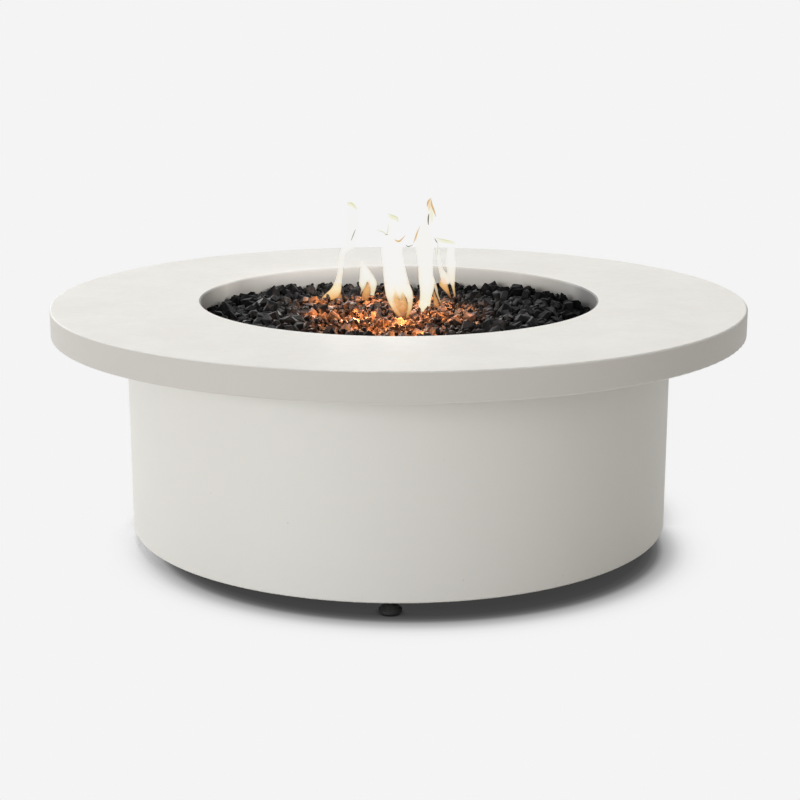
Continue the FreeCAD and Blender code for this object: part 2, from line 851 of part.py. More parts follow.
def add_screw(piece, station, level, seat, length=None):
    length = d.screw_length - d.skin_gap if length is None else length
    shank_end = seat - length
    piece.rod("x", d.screw_radius, (0, level), shank_end, seat, station)
    piece.rod("x", d.screw_head_radius, (0, level), seat, seat + d.screw_head_height, station)


def make_screws():
    hinge_seat = d.drum_radius + d.skin_gap / 6 + d.hinge_sheet
    wall_screws = Piece("wall_screws")
    for level in hinge_levels:
        for rise in (-1, 1):
            add_screw(wall_screws, drum_leaf_station, level + rise * d.hinge_height / 3, hinge_seat)
    for place in panel_screw_places():
        add_screw(wall_screws, place[0], place[1], panel_outer)
    for station in vent_stations:
        for place in vent_screw_places(station):
            add_screw(wall_screws, place[0], place[1], d.drum_radius + d.skin_gap + d.vent_sheet)
    wall_screws.done()
    door_screws = Piece("door_screws")
    for level in hinge_levels:
        for rise in (-1, 1):
            add_screw(door_screws, door_leaf_station, level + rise * d.hinge_height / 3, hinge_seat,
                      d.door_thickness * 0.7)
    door_screws.done()


# Vent covers.
def make_vents():
    inner = d.drum_radius + d.skin_gap
    outer = inner + d.vent_sheet
    low = vent_centre_level - d.vent_opening_height / 2 - d.vent_lap
    high = vent_centre_level + d.vent_opening_height / 2 + d.vent_lap
    lap_angle = arc_angle(d.vent_lap, d.drum_radius)
    for name, station in zip(("right", "left"), vent_stations):
        cover = Piece("vent_cover_" + name)
        cover.turned([(inner, low), (outer, low), (outer, high), (inner, high)],
                     station=station, angle=2 * (d.vent_half_angle + lap_angle))
        slots = int(d.vent_slot_count.value)
        for index in range(slots):
            middle = vent_centre_level + (index - (slots - 1) / 2) * d.vent_slot_pitch
            slot_low = middle - d.vent_slot_height / 2
            slot_high = middle + d.vent_slot_height / 2
            cover.turned([(inner - 1, slot_low), (outer + 1, slot_low), (outer + 1, slot_high),
                          (inner - 1, slot_high)],
                         station=station, angle=2 * (d.vent_half_angle - lap_angle / 2), cut=True)
        for place in vent_screw_places(station):
            cover.rod("x", screw_hole, (0, place[1]), inner - 2, outer + 2, place[0], True)
        cover.done()


# Control panel, gas valve, knob and igniter.
def make_controls():
    panel = Piece("control_panel")
    half_height = d.panel_height / 2 + d.panel_lap
    low, high = control_height - half_height, control_height + half_height
    lap_angle = arc_angle(d.panel_lap, d.drum_radius)
    panel.turned([(panel_inner, low), (panel_outer, low), (panel_outer, high), (panel_inner, high)],
                 station=d.panel_station, angle=2 * (d.panel_half_angle + lap_angle))
    panel.rod("x", d.valve_thread_radius + d.valve_thread_play, (0, control_height),
              panel_inner - 3, panel_outer + 3, valve_station, True)
    panel.rod("x", d.igniter_thread_radius + d.valve_thread_play, (0, control_height),
              panel_inner - 3, panel_outer + 3, igniter_station, True)
    for place in panel_screw_places():
        panel.rod("x", screw_hole, (0, place[1]), panel_inner - 2, panel_outer + 2, place[0], True)
    panel.done()

    back = valve_back
    stem_bore = d.stem_radius + d.stem_play
    bore_end = back + 0.4 * d.valve_body_length
    valve = Piece("gas_valve_body", valve_station)
    valve.turned([
        (back, 0), (back, d.valve_body_radius), (control_face, d.valve_body_radius),
        (control_face, d.valve_thread_radius), (thread_end, d.valve_thread_radius),
        (thread_end, stem_bore), (bore_end, stem_bore), (bore_end, 0),
    ], axis="H_Axis", shift=(0, control_height, 0))
    valve.rod("y", d.port_radius + 1, (port_x, control_height), -port_face, -2)
    sensor_port_radius = d.lead_radius * 3
    valve.rod("z", sensor_port_radius, (port_x, 0), control_height + 2, control_height + port_face)
    valve.done()

    nut = Piece("valve_panel_nut", valve_station)
    nut.nut("x", d.valve_nut_flats, d.valve_thread_radius + d.thread_clearance, (0, control_height),
            nut_start, nut_end)
    nut.done()

    plunger_low = bore_end + d.push_travel + 2
    plunger_high = (plunger_low + thread_end) / 2
    plunger = Piece("valve_plunger", valve_station)
    plunger.rod("x", d.stem_radius, (0, control_height), plunger_low, plunger_high)
    plunger.done()

    knob_back = thread_end + d.push_travel + 1
    stem_end = knob_back + 0.6 * d.knob_length
    stem = Piece("valve_stem", valve_station)
    stem.rod("x", d.stem_radius, (0, control_height), plunger_high + d.stem_play, stem_end)
    stem.done()

    knob = Piece("control_knob", valve_station)
    knob_end = knob_back + d.knob_length
    skirt = knob_back + 0.15 * d.knob_length
    knob.turned([
        (knob_back, stem_bore), (knob_back, d.knob_skirt_radius), (skirt, d.knob_skirt_radius),
        (skirt + 2, d.knob_grip_radius), (knob_end - 2, d.knob_grip_radius * 0.92),
        (knob_end, d.knob_grip_radius * 0.8), (knob_end, 0), (stem_end + 0.2, 0), (stem_end + 0.2, stem_bore),
    ], axis="H_Axis", shift=(0, control_height, 0))
    grip_start = skirt + 0.2 * d.knob_length
    reach = d.knob_skirt_radius + 2
    for side_y in ((-reach, -d.knob_bar_width / 2), (d.knob_bar_width / 2, reach)):
        knob.block((grip_start, knob_end + 1), side_y, (control_height - reach, control_height + reach),
                   cut=True)
    knob.block((skirt + 3, knob_end + 1), (-d.knob_bar_width / 12, d.knob_bar_width / 12),
               (control_height + d.knob_grip_radius - 3, control_height + reach), cut=True)
    knob.done()

    back = control_face - d.igniter_length
    button_bore = d.button_radius + d.button_play
    well = thread_end - 0.4 * d.igniter_length
    igniter = Piece("igniter_body", igniter_station)
    igniter.turned([
        (back - d.terminal_length, 0), (back - d.terminal_length, 2 * d.lead_radius),
        (back, 2 * d.lead_radius), (back, d.igniter_radius),
        (control_face, d.igniter_radius), (control_face, d.igniter_thread_radius),
        (thread_end, d.igniter_thread_radius), (thread_end, button_bore), (well, button_bore), (well, 0),
    ], axis="H_Axis", shift=(0, control_height, 0))
    igniter.done()

    ring = Piece("igniter_ring_nut", igniter_station)
    ring.pipe("x", d.igniter_nut_radius, d.igniter_thread_radius + d.thread_clearance,
              (0, control_height), nut_start, nut_end)
    ring.done()

    button = Piece("igniter_button", igniter_station)
    button_end = thread_end + d.button_proud
    button.turned([
        (well + d.push_travel + 1, 0), (well + d.push_travel + 1, d.button_radius),
        (button_end - 1, d.button_radius), (button_end, d.button_radius - 1), (button_end, 0),
    ], axis="H_Axis", shift=(0, control_height, 0))
    button.done()


# Burner pan and lava rock.
def make_pan():
    flange_radius = d.opening_radius - d.flange_gap
    pan = Piece("burner_pan")
    pan.turned([
        (0, pan_under), (pan_radius, pan_under), (pan_radius, ledge_level), (flange_radius, ledge_level),
        (flange_radius, ledge_level + d.pan_sheet), (pan_radius - d.pan_sheet, ledge_level + d.pan_sheet),
        (pan_radius - d.pan_sheet, pan_floor), (0, pan_floor),
    ])
    pan.rod("z", d.nipple_radius + 0.6, (0, 0), pan_under - 1, pan_floor + 1, None, True)
    drain = pan.rod("z", d.drain_radius, (d.drain_ring_radius, 0), pan_under - 1, pan_floor + 1, None, True)
    pan.repeat([drain], d.foot_count)
    pan.rod("z", d.insulator_radius + 0.5, (d.electrode_distance, 0), pan_under - 1, pan_floor + 1,
            igniter_station, True)
    pan.rod("z", 4 * d.lead_radius, (sensor_hole_distance, 0), pan_under - 1, pan_floor + 1,
            valve_station, True)
    pan.done()


def make_rock_bed():
    bed = Piece("lava_rock_bed")
    bed_top = top_level - d.rock_bed_drop
    pan_inside = pan_radius - d.pan_sheet - d.rock_side_gap
    over_flange = ledge_level + d.pan_sheet + d.rock_side_gap
    bed.turned([
        (d.rock_cavity_radius, pan_floor), (pan_inside, pan_floor), (pan_inside, over_flange),
        (d.opening_radius - d.rock_side_gap, over_flange), (d.opening_radius - d.rock_side_gap, bed_top),
        (0, bed_top), (0, bed_top - d.rock_roof), (d.rock_cavity_radius, bed_top - d.rock_roof),
    ])
    bed.done()


def rock(centre, reach, height, spin, rand):
    """One broken lump that lies on a flat side: a narrow foot, a wide waist and a peak."""
    corners = 5
    foot, waist = [], []
    for i in range(corners):
        angle = spin + 2 * math.pi * (i + rand.uniform(-0.12, 0.12)) / corners
        r = reach * rand.uniform(0.62, 0.80)
        foot.append(centre + Vector(r * math.cos(angle), r * math.sin(angle), 0))
        angle += math.pi / corners
        r = reach * rand.uniform(0.84, 1.0)
        rise = height * rand.uniform(0.34, 0.60)
        waist.append(centre + Vector(r * math.cos(angle), r * math.sin(angle), rise))
    shift = 0.25 * reach
    peak = centre + Vector(rand.uniform(-shift, shift), rand.uniform(-shift, shift), height)
    faces = [Part.Face(Part.makePolygon(foot + [foot[0]]))]
    for i in range(corners):
        j = (i + 1) % corners
        for triangle in (
            (foot[i], foot[j], waist[i]),
            (foot[j], waist[j], waist[i]),
            (waist[i], waist[j], peak),
        ):
            faces.append(Part.Face(Part.makePolygon(list(triangle) + [triangle[0]])))
    solid = Part.Solid(Part.Shell(faces))
    if solid.Volume < 0:
        solid.reverse()
    return solid


def make_rocks():
    """Scatters the top layer over the bed: the large lumps first, then smaller ones between them."""
    rand = random.Random(11)
    level = (top_level - d.rock_bed_drop).value
    limit = (d.opening_radius - d.rock_side_gap).value
    largest = d.rock_reach_large.value
    spots = []
    for reach, tries in (
        (largest, d.rock_tries_large.value),
        (d.rock_reach_middle.value, d.rock_tries_middle.value),
        (d.rock_reach_small.value, d.rock_tries_small.value),
    ):
        for _ in range(int(tries)):
            size = reach * rand.uniform(0.88, 1.0)
            distance = (limit - size) * math.sqrt(rand.random())
            angle = rand.uniform(0, 2 * math.pi)
            x, y = distance * math.cos(angle), distance * math.sin(angle)
            if all(math.hypot(x - p[0], y - p[1]) > size + p[2] + d.rock_side_gap.value for p in spots):
                spots.append((x, y, size))
    rocks = []
    for x, y, size in spots:
        height = d.rock_height.value * rand.uniform(0.8, 1.0) * math.sqrt(size / largest)
        spin = rand.uniform(0, 2 * math.pi)
        rocks.append(rock(Vector(x, y, level), size, height, spin, rand))
    feature = doc.addObject("Part::Feature", "lava_rock_top")
    feature.Label = "lava_rock_top"
    feature.Shape = Part.makeCompound(rocks)
    feature.Placement = FreeCAD.Placement()
    pieces.append(feature)
    print("lava rocks:", len(rocks))


# Burner, its nipple and air mixer.
tube_axis_level = pan_floor + d.tube_lift


def make_burner():
    burner = Piece("ring_burner")
    for radius in (d.ring_radius, d.small_ring_radius):
        sketch = burner.sketch("XZ_Plane")
        burner.circle(sketch, d.tube_radius, radius, tube_axis_level)
        burner.turn_sketch(sketch)
    burner.rod("x", d.tube_radius, (0, tube_axis_level), -d.ring_radius, d.ring_radius)
    burner.rod("z", d.hub_radius, (0, 0), pan_floor, pan_floor + d.hub_height)
    bore = d.tube_radius - d.tube_wall
    for radius in (d.ring_radius, d.small_ring_radius):
        sketch = burner.sketch("XZ_Plane")
        burner.circle(sketch, bore, radius, tube_axis_level)
        burner.turn_sketch(sketch, cut=True)
    burner.rod("x", bore, (0, tube_axis_level), -d.ring_radius, d.ring_radius, None, True)
    burner.rod("z", d.nipple_radius + d.nipple_play, (0, 0), pan_floor - 1, tube_axis_level, None, True)
    for radius, count in ((d.ring_radius, d.ring_port_count), (d.small_ring_radius, d.small_ring_port_count)):
        port = burner.rod("z", d.flame_port_radius, (radius, 0), tube_axis_level,
                          tube_axis_level + d.tube_radius + 1, None, True)
        burner.repeat([port], count)
    burner.done()

    nipple = Piece("burner_nipple")
    nipple_low = pan_under - d.nipple_drop
    nipple.pipe("z", d.nipple_radius, d.nipple_radius - d.nipple_wall, (0, 0), nipple_low,
                pan_floor + d.nipple_in_hub)
    nipple.done()

    locknut = Piece("burner_locknut")
    locknut.nut("z", d.locknut_flats, d.nipple_radius + d.nipple_play, (0, 0),
                pan_under - d.locknut_height, pan_under)
    locknut.done()

    mixer = Piece("air_mixer")
    socket_low = nipple_low
    mixer_low = nipple_low + d.mixer_lap - d.mixer_length
    mixer.rod("z", d.mixer_radius, (0, 0), mixer_low, nipple_low + d.mixer_lap)
    mixer.rod("z", d.nipple_radius + d.nipple_play, (0, 0), socket_low, nipple_low + d.mixer_lap + 1,
              None, True)
    mixer.rod("z", d.nipple_radius - d.nipple_wall, (0, 0), mixer_low + 2, socket_low, None, True)
    air_level = mixer_low + 0.45 * d.mixer_length
    mixer.rod("x", d.mixer_air_hole_radius, (0, air_level), -d.mixer_radius - 1, d.mixer_radius + 1,
              None, True)
    mixer.rod("y", d.mixer_air_hole_radius, (0, air_level), -d.mixer_radius - 1, d.mixer_radius + 1,
              None, True)
    mixer.done()
    return mixer_low


# Tubes that follow a route of straight runs and tangent arcs.
def route_wire(points, bends):
    """A wire through the points, with each inner corner rounded by its bend radius."""
    edges = []
    start = points[0]
    for corner, after, bend in zip(points[1:-1], points[2:], bends):
        into = (corner - start).normalize()
        out = (after - corner).normalize()
        turn = into.getAngle(out)
        back = bend * math.tan(turn / 2)
        first = corner - into * back
        last = corner + out * back
        inward = (out - into).normalize()
        centre = corner + inward * (bend / math.cos(turn / 2))
        middle = centre - inward * bend
        if (first - start).Length > 1e-6:
            edges.append(Part.LineSegment(start, first).toShape())
        edges.append(Part.Arc(first, middle, last).toShape())
        start = last
    edges.append(Part.LineSegment(start, points[-1]).toShape())
    return Part.Wire(edges)


def tube(label, points, bends, radius):
    path = route_wire(points, bends)
    direction = (points[1] - points[0]).normalize()
    ring = Part.Wire(Part.Circle(points[0], direction, radius).toShape())
    solid = path.makePipeShell([ring], True, False)
    if solid.Volume < 0:
        solid.reverse()
    expected = math.pi * radius * radius * path.Length
    if abs(solid.Volume - expected) > 0.01 * expected:
        raise RuntimeError(label + ": the tube's volume is not its section times its length")
    print("%s: length %.0f mm, radius %.1f mm, bends %s" % (label, path.Length, radius, bends))
    return solid


def add_shape(label, shape, station):
    feature = doc.addObject("Part::Feature", label)
    feature.Label = label
    feature.Shape = shape
    feature.Placement = FreeCAD.Placement(Vector(0, 0, 0), FreeCAD.Rotation(Vector(0, 0, 1), station.value))
    pieces.append(feature)
    return feature


def hex_nut(flats, direction, start, length):
    """A solid hexagonal nut that starts at a point and runs along a direction."""
    side = Vector(0, 0, 1) if abs(direction.z) < 0.5 else Vector(1, 0, 0)
    other = direction.cross(side)
    reach = flats / 2 / math.cos(math.radians(30))
    corners = []
    for i in range(7):
        angle = math.radians(60 * i)
        corners.append(start + side * (reach * math.cos(angle)) + other * (reach * math.sin(angle)))
    return Part.Face(Part.makePolygon(corners)).extrude(direction * length)


def make_burner_hose(mixer_low):
    """From the back of the gas valve, down and across, then up into the air mixer."""
    nut_length = d.port_nut_length.value
    back = valve_back.value
    level = control_height.value
    end_level = mixer_low.value
    slope = math.radians(d.hose_slope.value)
    bend = d.hose_bend.value
    low_bend = d.hose_low_bend.value
    low_level = end_level - nut_length - low_bend - 6
    start = Vector(back, 0, level)
    drop = level - low_level
    corner_reach = bend * math.tan(slope / 2)
    first = Vector(back - nut_length - d.hose_first_run.value - corner_reach, 0, level)
    second = Vector(first.x - drop / math.tan(slope), 0, low_level)
    third = Vector(0, 0, low_level)
    end = Vector(0, 0, end_level)
    points = [start, first, second, third, end]
    bends = [bend, bend, low_bend]
    solid = tube("burner_hose", points, bends, d.hose_radius.value)
    flats = d.port_nut_flats.value
    solid = solid.fuse(hex_nut(flats, Vector(-1, 0, 0), start, nut_length))
    solid = solid.fuse(hex_nut(flats, Vector(0, 0, -1), end, nut_length))
    return add_shape("burner_hose", solid.removeSplitter(), valve_station)


def make_supply():
    """From the shut-off valve straight up, then level into the side of the gas valve."""
    x = port_x.value
    level = control_height.value
    nut_length = d.port_nut_length.value
    bend = d.supply_bend.value
    start = Vector(x, -port_face.value, level)
    corner = Vector(x, start.y - nut_length - d.supply_run.value - bend, level)
    end = Vector(x, corner.y, shutoff_high.value)
    solid = tube("supply_hose", [start, corner, end], [bend], d.supply_radius.value)
    flats = d.port_nut_flats.value
    solid = solid.fuse(hex_nut(flats, Vector(0, -1, 0), start, nut_length))
    solid = solid.fuse(hex_nut(flats, Vector(0, 0, 1), end, nut_length))
    add_shape("supply_hose", solid.removeSplitter(), valve_station)


# the shut-off valve stands under the supply hose, at a station of its own
shutoff_y = port_face + d.port_nut_length + d.supply_run + d.supply_bend
shutoff_distance = root(port_x * port_x + shutoff_y * shutoff_y)
shutoff_lag = Size(
    math.degrees(math.atan2(shutoff_y.value, port_x.value)),
    "(atan(%s / %s) / 1 deg)" % (shutoff_y.text, port_x.text),
)
shutoff_station = valve_station - shutoff_lag
shutoff_axis_level = shutoff_low + d.shutoff_length / 2


def make_shutoff():
    low, high = shutoff_low, shutoff_high
    x = shutoff_distance
    stem_end = x - d.shutoff_ball_radius - 8 - d.lever_sheet
    lever_face = x - d.shutoff_ball_radius - 6

    valve = Piece("shutoff_valve_body", shutoff_station)
    valve.rod("z", d.shutoff_radius, (x, 0), low, high)
    valve.rod("x", d.shutoff_ball_radius * 0.8, (0, shutoff_axis_level), x - d.shutoff_ball_radius,
              x + d.shutoff_radius * 0.5)
    valve.rod("x", d.shutoff_stem_radius, (0, shutoff_axis_level), lever_face - d.lever_sheet - 4,
              x - d.shutoff_ball_radius + 1)
    valve.done()

    lever = Piece("shutoff_lever", shutoff_station)
    lever_back = lever_face - d.lever_sheet
    half_width = d.lever_width / 2
    lever.block((lever_back, lever_face), (-half_width, half_width),
                (shutoff_axis_level - half_width, shutoff_axis_level + d.lever_length))
    lever.rod("x", d.shutoff_stem_radius + d.stem_play, (0, shutoff_axis_level), lever_back - 1,
              lever_face + 1, None, True)
    lever.done()

    nut = Piece("shutoff_lever_nut", shutoff_station)
    nut.nut("x", d.shutoff_stem_radius * 3.2, d.shutoff_stem_radius + d.stem_play, (0, shutoff_axis_level),
            lever_back - 0.3 - 3, lever_back - 0.3)
    nut.done()

    fitting = Piece("gas_inlet_fitting", shutoff_station)
    hex_length = d.inlet_fitting_length - d.flare_length
    tip = low - d.inlet_fitting_length
    fitting.hex_rod("z", d.port_nut_flats, (x, 0), low - hex_length, low)
    fitting.rod("z", d.flare_radius, (x, 0), tip, low - hex_length)
    fitting.rod("z", d.flare_radius - 3, (x, 0), tip - 1, low - 2, None, True)
    fitting.done()

    clamp = Piece("shutoff_bracket", shutoff_station)
    plate_half = d.bracket_width / 2
    plate_face = root(drum_inner * drum_inner - plate_half * plate_half) - d.skin_gap / 3
    clamp_low = high - d.clamp_height - 4
    clamp_high = high - 4
    ring_outer = d.shutoff_radius + d.skin_gap + d.clamp_wall
    clamp.block((plate_face - d.clamp_sheet, plate_face), (-plate_half, plate_half),
                (clamp_low - 12, clamp_high + 12))
    clamp.block((x + d.shutoff_radius, plate_face - d.clamp_sheet + 1), (-8, 8), (clamp_low, clamp_high))
    clamp.rod("z", ring_outer, (x, 0), clamp_low, clamp_high)
    clamp.rod("z", d.shutoff_radius + d.skin_gap / 3, (x, 0), clamp_low - 1, clamp_high + 1, None, True)
    clamp.done()


# Spark electrode and thermocouple.
lead_level = pan_under - d.sensor_lead_drop
sensor_lead_rise = lead_level - (control_height + port_face)
crossing = (pan_floor - lead_level) / d.sensor_lead_bend
sensor_hole_distance = (
    d.sensor_distance + d.sensor_lead_bend
    - d.sensor_lead_bend * root(1 - (1 - crossing) * (1 - crossing))
)


def make_ignition_parts():
    insulator_low = pan_under - 6
    insulator_high = insulator_low + d.insulator_height
    bend = d.lead_bend.value
    level = control_height.value
    distance = d.electrode_distance.value
    start = Vector((control_face - d.igniter_length - d.terminal_length).value, 0, level)
    corner = Vector(distance, 0, level)
    end = Vector(distance, 0, insulator_low.value)
    solid = tube("igniter_wire", [start, corner, end], [bend], d.lead_radius.value)
    boot = Part.makeCylinder(d.lead_radius.value * 2.2, 14, end - Vector(0, 0, 14), Vector(0, 0, 1))
    add_shape("igniter_wire", solid.fuse(boot).removeSplitter(), igniter_station)

    insulator = Piece("electrode_insulator", igniter_station)
    insulator.rod("z", d.insulator_radius, (d.electrode_distance, 0), insulator_low, insulator_high)
    insulator.done()

    turn = 6.0
    tip = distance - 0.8 * (d.electrode_distance - d.ring_radius - d.tube_radius).value
    high = insulator_high.value
    solid = tube(
        "spark_electrode",
        [Vector(distance, 0, high), Vector(distance, 0, high + 8), Vector(tip, 0, high + 8)],
        [turn], d.electrode_wire_radius.value,
    )
    add_shape("spark_electrode", solid, igniter_station)

    holder = Piece("electrode_holder", igniter_station)
    holder.block((d.electrode_distance - 12, d.electrode_distance + 12), (-9, 9),
                 (pan_floor, pan_floor + d.holder_sheet))
    holder.pipe("z", d.insulator_radius + 2, d.insulator_radius + d.nipple_play, (d.electrode_distance, 0),
                pan_floor, pan_floor + 10)
    holder.rod("z", d.insulator_radius + d.nipple_play, (d.electrode_distance, 0), pan_floor - 1,
               pan_floor + 12, None, True)
    holder.done()

    bend = d.sensor_lead_bend.value
    high = lead_level.value
    sensor_at = d.sensor_distance.value
    points = [
        Vector(port_x.value, 0, high - sensor_lead_rise.value),
        Vector(port_x.value, 0, high),
        Vector(sensor_at, 0, high),
        Vector(sensor_at, 0, high + bend + 1),
    ]
    solid = tube("thermocouple", points, [bend, bend], d.lead_radius.value)
    nut = Part.makeCylinder(d.lead_radius.value * 3, 7, points[0], Vector(0, 0, 1))
    sensor = Part.makeCylinder(d.sensor_radius.value, d.sensor_length.value, points[-1], Vector(0, 0, 1))
    add_shape("thermocouple", solid.fuse([nut, sensor]).removeSplitter(), valve_station)

    sensor_low = lead_level + d.sensor_lead_bend + 1
    sensor_holder = Piece("thermocouple_holder", valve_station)
    upright_y = 4 * d.lead_radius + 1
    tab_low = sensor_low + 5
    sensor_holder.block((d.sensor_distance - 9, d.sensor_distance + 9),
                        (-upright_y - 15, -upright_y), (pan_floor, pan_floor + d.holder_sheet))
    sensor_holder.block((d.sensor_distance - 9, d.sensor_distance + 9),
                        (-upright_y - d.holder_sheet, -upright_y), (pan_floor, tab_low + d.holder_sheet))
    sensor_holder.block((d.sensor_distance - 9, d.sensor_distance + 9),
                        (-upright_y - d.holder_sheet, 7), (tab_low, tab_low + d.holder_sheet))
    sensor_holder.rod("z", d.sensor_radius + d.nipple_play, (d.sensor_distance, 0), tab_low - 1,
                      tab_low + d.holder_sheet + 1, None, True)
    sensor_holder.done()


make_table_top()
make_base_drum()
make_feet()
make_brackets()
make_door()
make_hinges()
make_vents()
make_controls()
make_screws()
make_pan()
make_rock_bed()
make_rocks()
mixer_low_level = make_burner()
make_burner_hose(mixer_low_level)
make_supply()
make_shutoff()
make_ignition_parts()
doc.recompute()

for item in doc.Objects:
    if "Invalid" in item.State or "Error" in item.State:
        raise RuntimeError("%s did not build: %s, %s" % (item.Label, item.State, item.getStatusString()))
for piece in pieces:
    if piece.Shape.isNull() or not piece.Shape.isValid():
        raise RuntimeError(piece.Label + " has no valid shape")

os.makedirs("parts", exist_ok=True)
for piece in pieces:
    piece.Shape.exportStep("parts/%s.step" % piece.Label)
print(len(pieces), "pieces written")
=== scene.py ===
import json
import math
import random
from functools import partial

import bmesh
import bpy
import numpy
from mathutils import Euler, Matrix, Vector

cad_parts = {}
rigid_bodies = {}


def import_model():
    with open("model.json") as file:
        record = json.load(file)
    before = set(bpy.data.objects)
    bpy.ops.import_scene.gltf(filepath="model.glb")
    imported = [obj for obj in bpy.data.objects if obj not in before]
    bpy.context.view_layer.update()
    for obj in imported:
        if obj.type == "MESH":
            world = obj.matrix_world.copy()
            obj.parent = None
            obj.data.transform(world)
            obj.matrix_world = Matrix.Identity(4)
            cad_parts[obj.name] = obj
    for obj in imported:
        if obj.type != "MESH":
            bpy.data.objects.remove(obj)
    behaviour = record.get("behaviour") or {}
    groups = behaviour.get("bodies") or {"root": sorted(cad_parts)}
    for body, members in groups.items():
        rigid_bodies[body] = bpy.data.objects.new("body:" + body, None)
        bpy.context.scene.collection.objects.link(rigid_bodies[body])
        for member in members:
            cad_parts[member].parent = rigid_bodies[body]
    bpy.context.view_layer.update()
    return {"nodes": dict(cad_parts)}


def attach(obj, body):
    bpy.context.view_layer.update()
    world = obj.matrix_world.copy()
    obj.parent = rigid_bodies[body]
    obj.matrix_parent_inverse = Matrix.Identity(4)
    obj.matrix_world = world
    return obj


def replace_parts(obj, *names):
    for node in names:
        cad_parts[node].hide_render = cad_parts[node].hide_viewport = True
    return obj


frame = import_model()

nodes = frame["nodes"]
scene = bpy.context.scene
print("frame loaded:", len(nodes), "nodes")


# small helpers

def linear(hexColour):
    parts = [int(hexColour[i:i + 2], 16) / 255 for i in (1, 3, 5)]
    return [p / 12.92 if p <= 0.04045 else ((p + 0.055) / 1.055) ** 2.4 for p in parts] + [1.0]


def perMetre(millimetres):
    return 1000 / millimetres


def addObject(name, data):
    thing = bpy.data.objects.new(name, data)
    scene.collection.objects.link(thing)
    return thing


def plainMesh(holder, **options):
    # what modifiers or a curve make of the holder, as a plain mesh; the holder itself is thrown away
    ready = bpy.context.evaluated_depsgraph_get()
    mesh = bpy.data.meshes.new_from_object(holder.evaluated_get(ready), depsgraph=ready, **options)
    bpy.data.objects.remove(holder)
    return mesh


def emptyTree(owner):
    owner.use_nodes = True
    owner.node_tree.nodes.clear()
    return owner.node_tree


def setInputs(node, inputs):
    # each input takes a value, a socket, or a node, which means its first output in use
    for name, value in inputs.items():
        if isinstance(value, bpy.types.Node):
            value = next(socket for socket in value.outputs if socket.enabled)
        if isinstance(value, bpy.types.NodeSocket):
            node.id_data.links.new(value, node.inputs[name])
        else:
            node.inputs[name].default_value = value


def addNode(tree, kind, inputs=None, **settings):
    node = tree.nodes.new(kind if "Node" in kind else "ShaderNode" + kind)
    for name, value in settings.items():
        setattr(node, name, value)
    setInputs(node, inputs or {})
    return node


def toneRamp(add, value, tones):
    # a colour at each value given, smooth between them
    first, last = tones[0][0], tones[-1][0]
    share = add("MapRange", {"Value": value, "From Min": first, "From Max": last})
    ramp = add("ValToRGB", {"Fac": share})
    stops = ramp.color_ramp.elements
    while len(stops) < len(tones):
        stops.new(0.5)
    for stop, (at, tone) in zip(stops, tones):
        stop.position = (at - first) / (last - first)
    for stop, (at, tone) in zip(stops, tones):
        stop.color = linear(tone)
    return ramp


def insideBand(add, value, low, high):
    above = add("Math", {0: value, 1: low}, operation="GREATER_THAN")
    below = add("Math", {0: value, 1: high}, operation="LESS_THAN")
    return add("Math", {0: above, 1: below}, operation="MULTIPLY")


def newFinish(name, colour, roughness, metallic=0.0, ior=1.5):
    material = bpy.data.materials.new(name)
    add = partial(addNode, emptyTree(material))
    shader = add("BsdfPrincipled",
                 {"Base Color": linear(colour), "Roughness": roughness, "Metallic": metallic, "IOR": ior})
    add("OutputMaterial", {"Surface": shader})
    return material, add, shader, add("TexCoord").outputs["Object"]


def paint(material, *names):
    for name in names:
        node = nodes[name]
        if not node.material_slots:
            node.data.materials.append(material)
        for entry in node.material_slots:
            entry.material = material


def newPiece(name, mesh, body, material):
    piece = addObject(name, mesh)
    mesh.materials.clear()
    mesh.materials.append(material)
    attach(piece, body)
    return piece


def newGeometryTree(name, inputs, result):
    # a tree with its named inputs, given by kind; sockets holds what the modifier calls them
    tree = bpy.data.node_groups.new(name, "GeometryNodeTree")
    sockets = {own: tree.interface.new_socket(own, in_out="INPUT", socket_type="NodeSocket" + kind).identifier
               for own, kind in inputs.items()}
    tree.interface.new_socket(result, in_out="OUTPUT", socket_type="NodeSocketGeometry")
    return tree, sockets, partial(addNode, tree)


def growMesh(holder, tree, sockets, values):
    grow = holder.modifiers.new(tree.name, "NODES")
    grow.node_group = tree
    for name, value in values.items():
        grow[sockets[name]] = value
    mesh = plainMesh(holder, preserve_all_data_layers=True)
    mesh.name = tree.name
    return mesh


# camera, at the photo's place: fitted to the slab's and the drum's edges

cameraPlace = {
    "away": 2.8335,   # metres from the table's axis, measured level
    "height": 0.9096,
    "round": 1.65,    # degrees to the right of the front foot
    "down": 13.58,
    "aside": 0.045,   # degrees, the axis stands a little left of the middle
    "lens": 75.8, "sensor": 36, "seesTo": 200,
}


def placeCamera(place):
    camera = addObject("photo camera", bpy.data.cameras.new("photo camera"))
    turn = math.radians(place["round"])
    camera.location = (place["away"] * math.sin(turn), -place["away"] * math.cos(turn), place["height"])
    camera.rotation_euler = Euler((math.radians(90 - place["down"]), 0, turn - math.radians(place["aside"])))
    camera.data.lens = place["lens"]
    camera.data.sensor_width = place["sensor"]
    camera.data.clip_end = place["seesTo"]
    scene.camera = camera


def inPhoto(across, behind, level):
    # a place in metres from mm: across the photo, behind the table's axis, and up
    turn = Matrix.Rotation(math.radians(cameraPlace["round"]), 3, "Z")
    return turn @ (Vector((across, behind, level)) / 1000)


placeCamera(cameraPlace)
scene.view_settings.view_transform = "Standard"
print("camera placed")


# concrete: white cement with glass fibre, cast face down in a polished mould, then rubbed and sealed.
# The eye sees an even satin skin, faint clouds where the mix set wetter and a few pinholes from air.

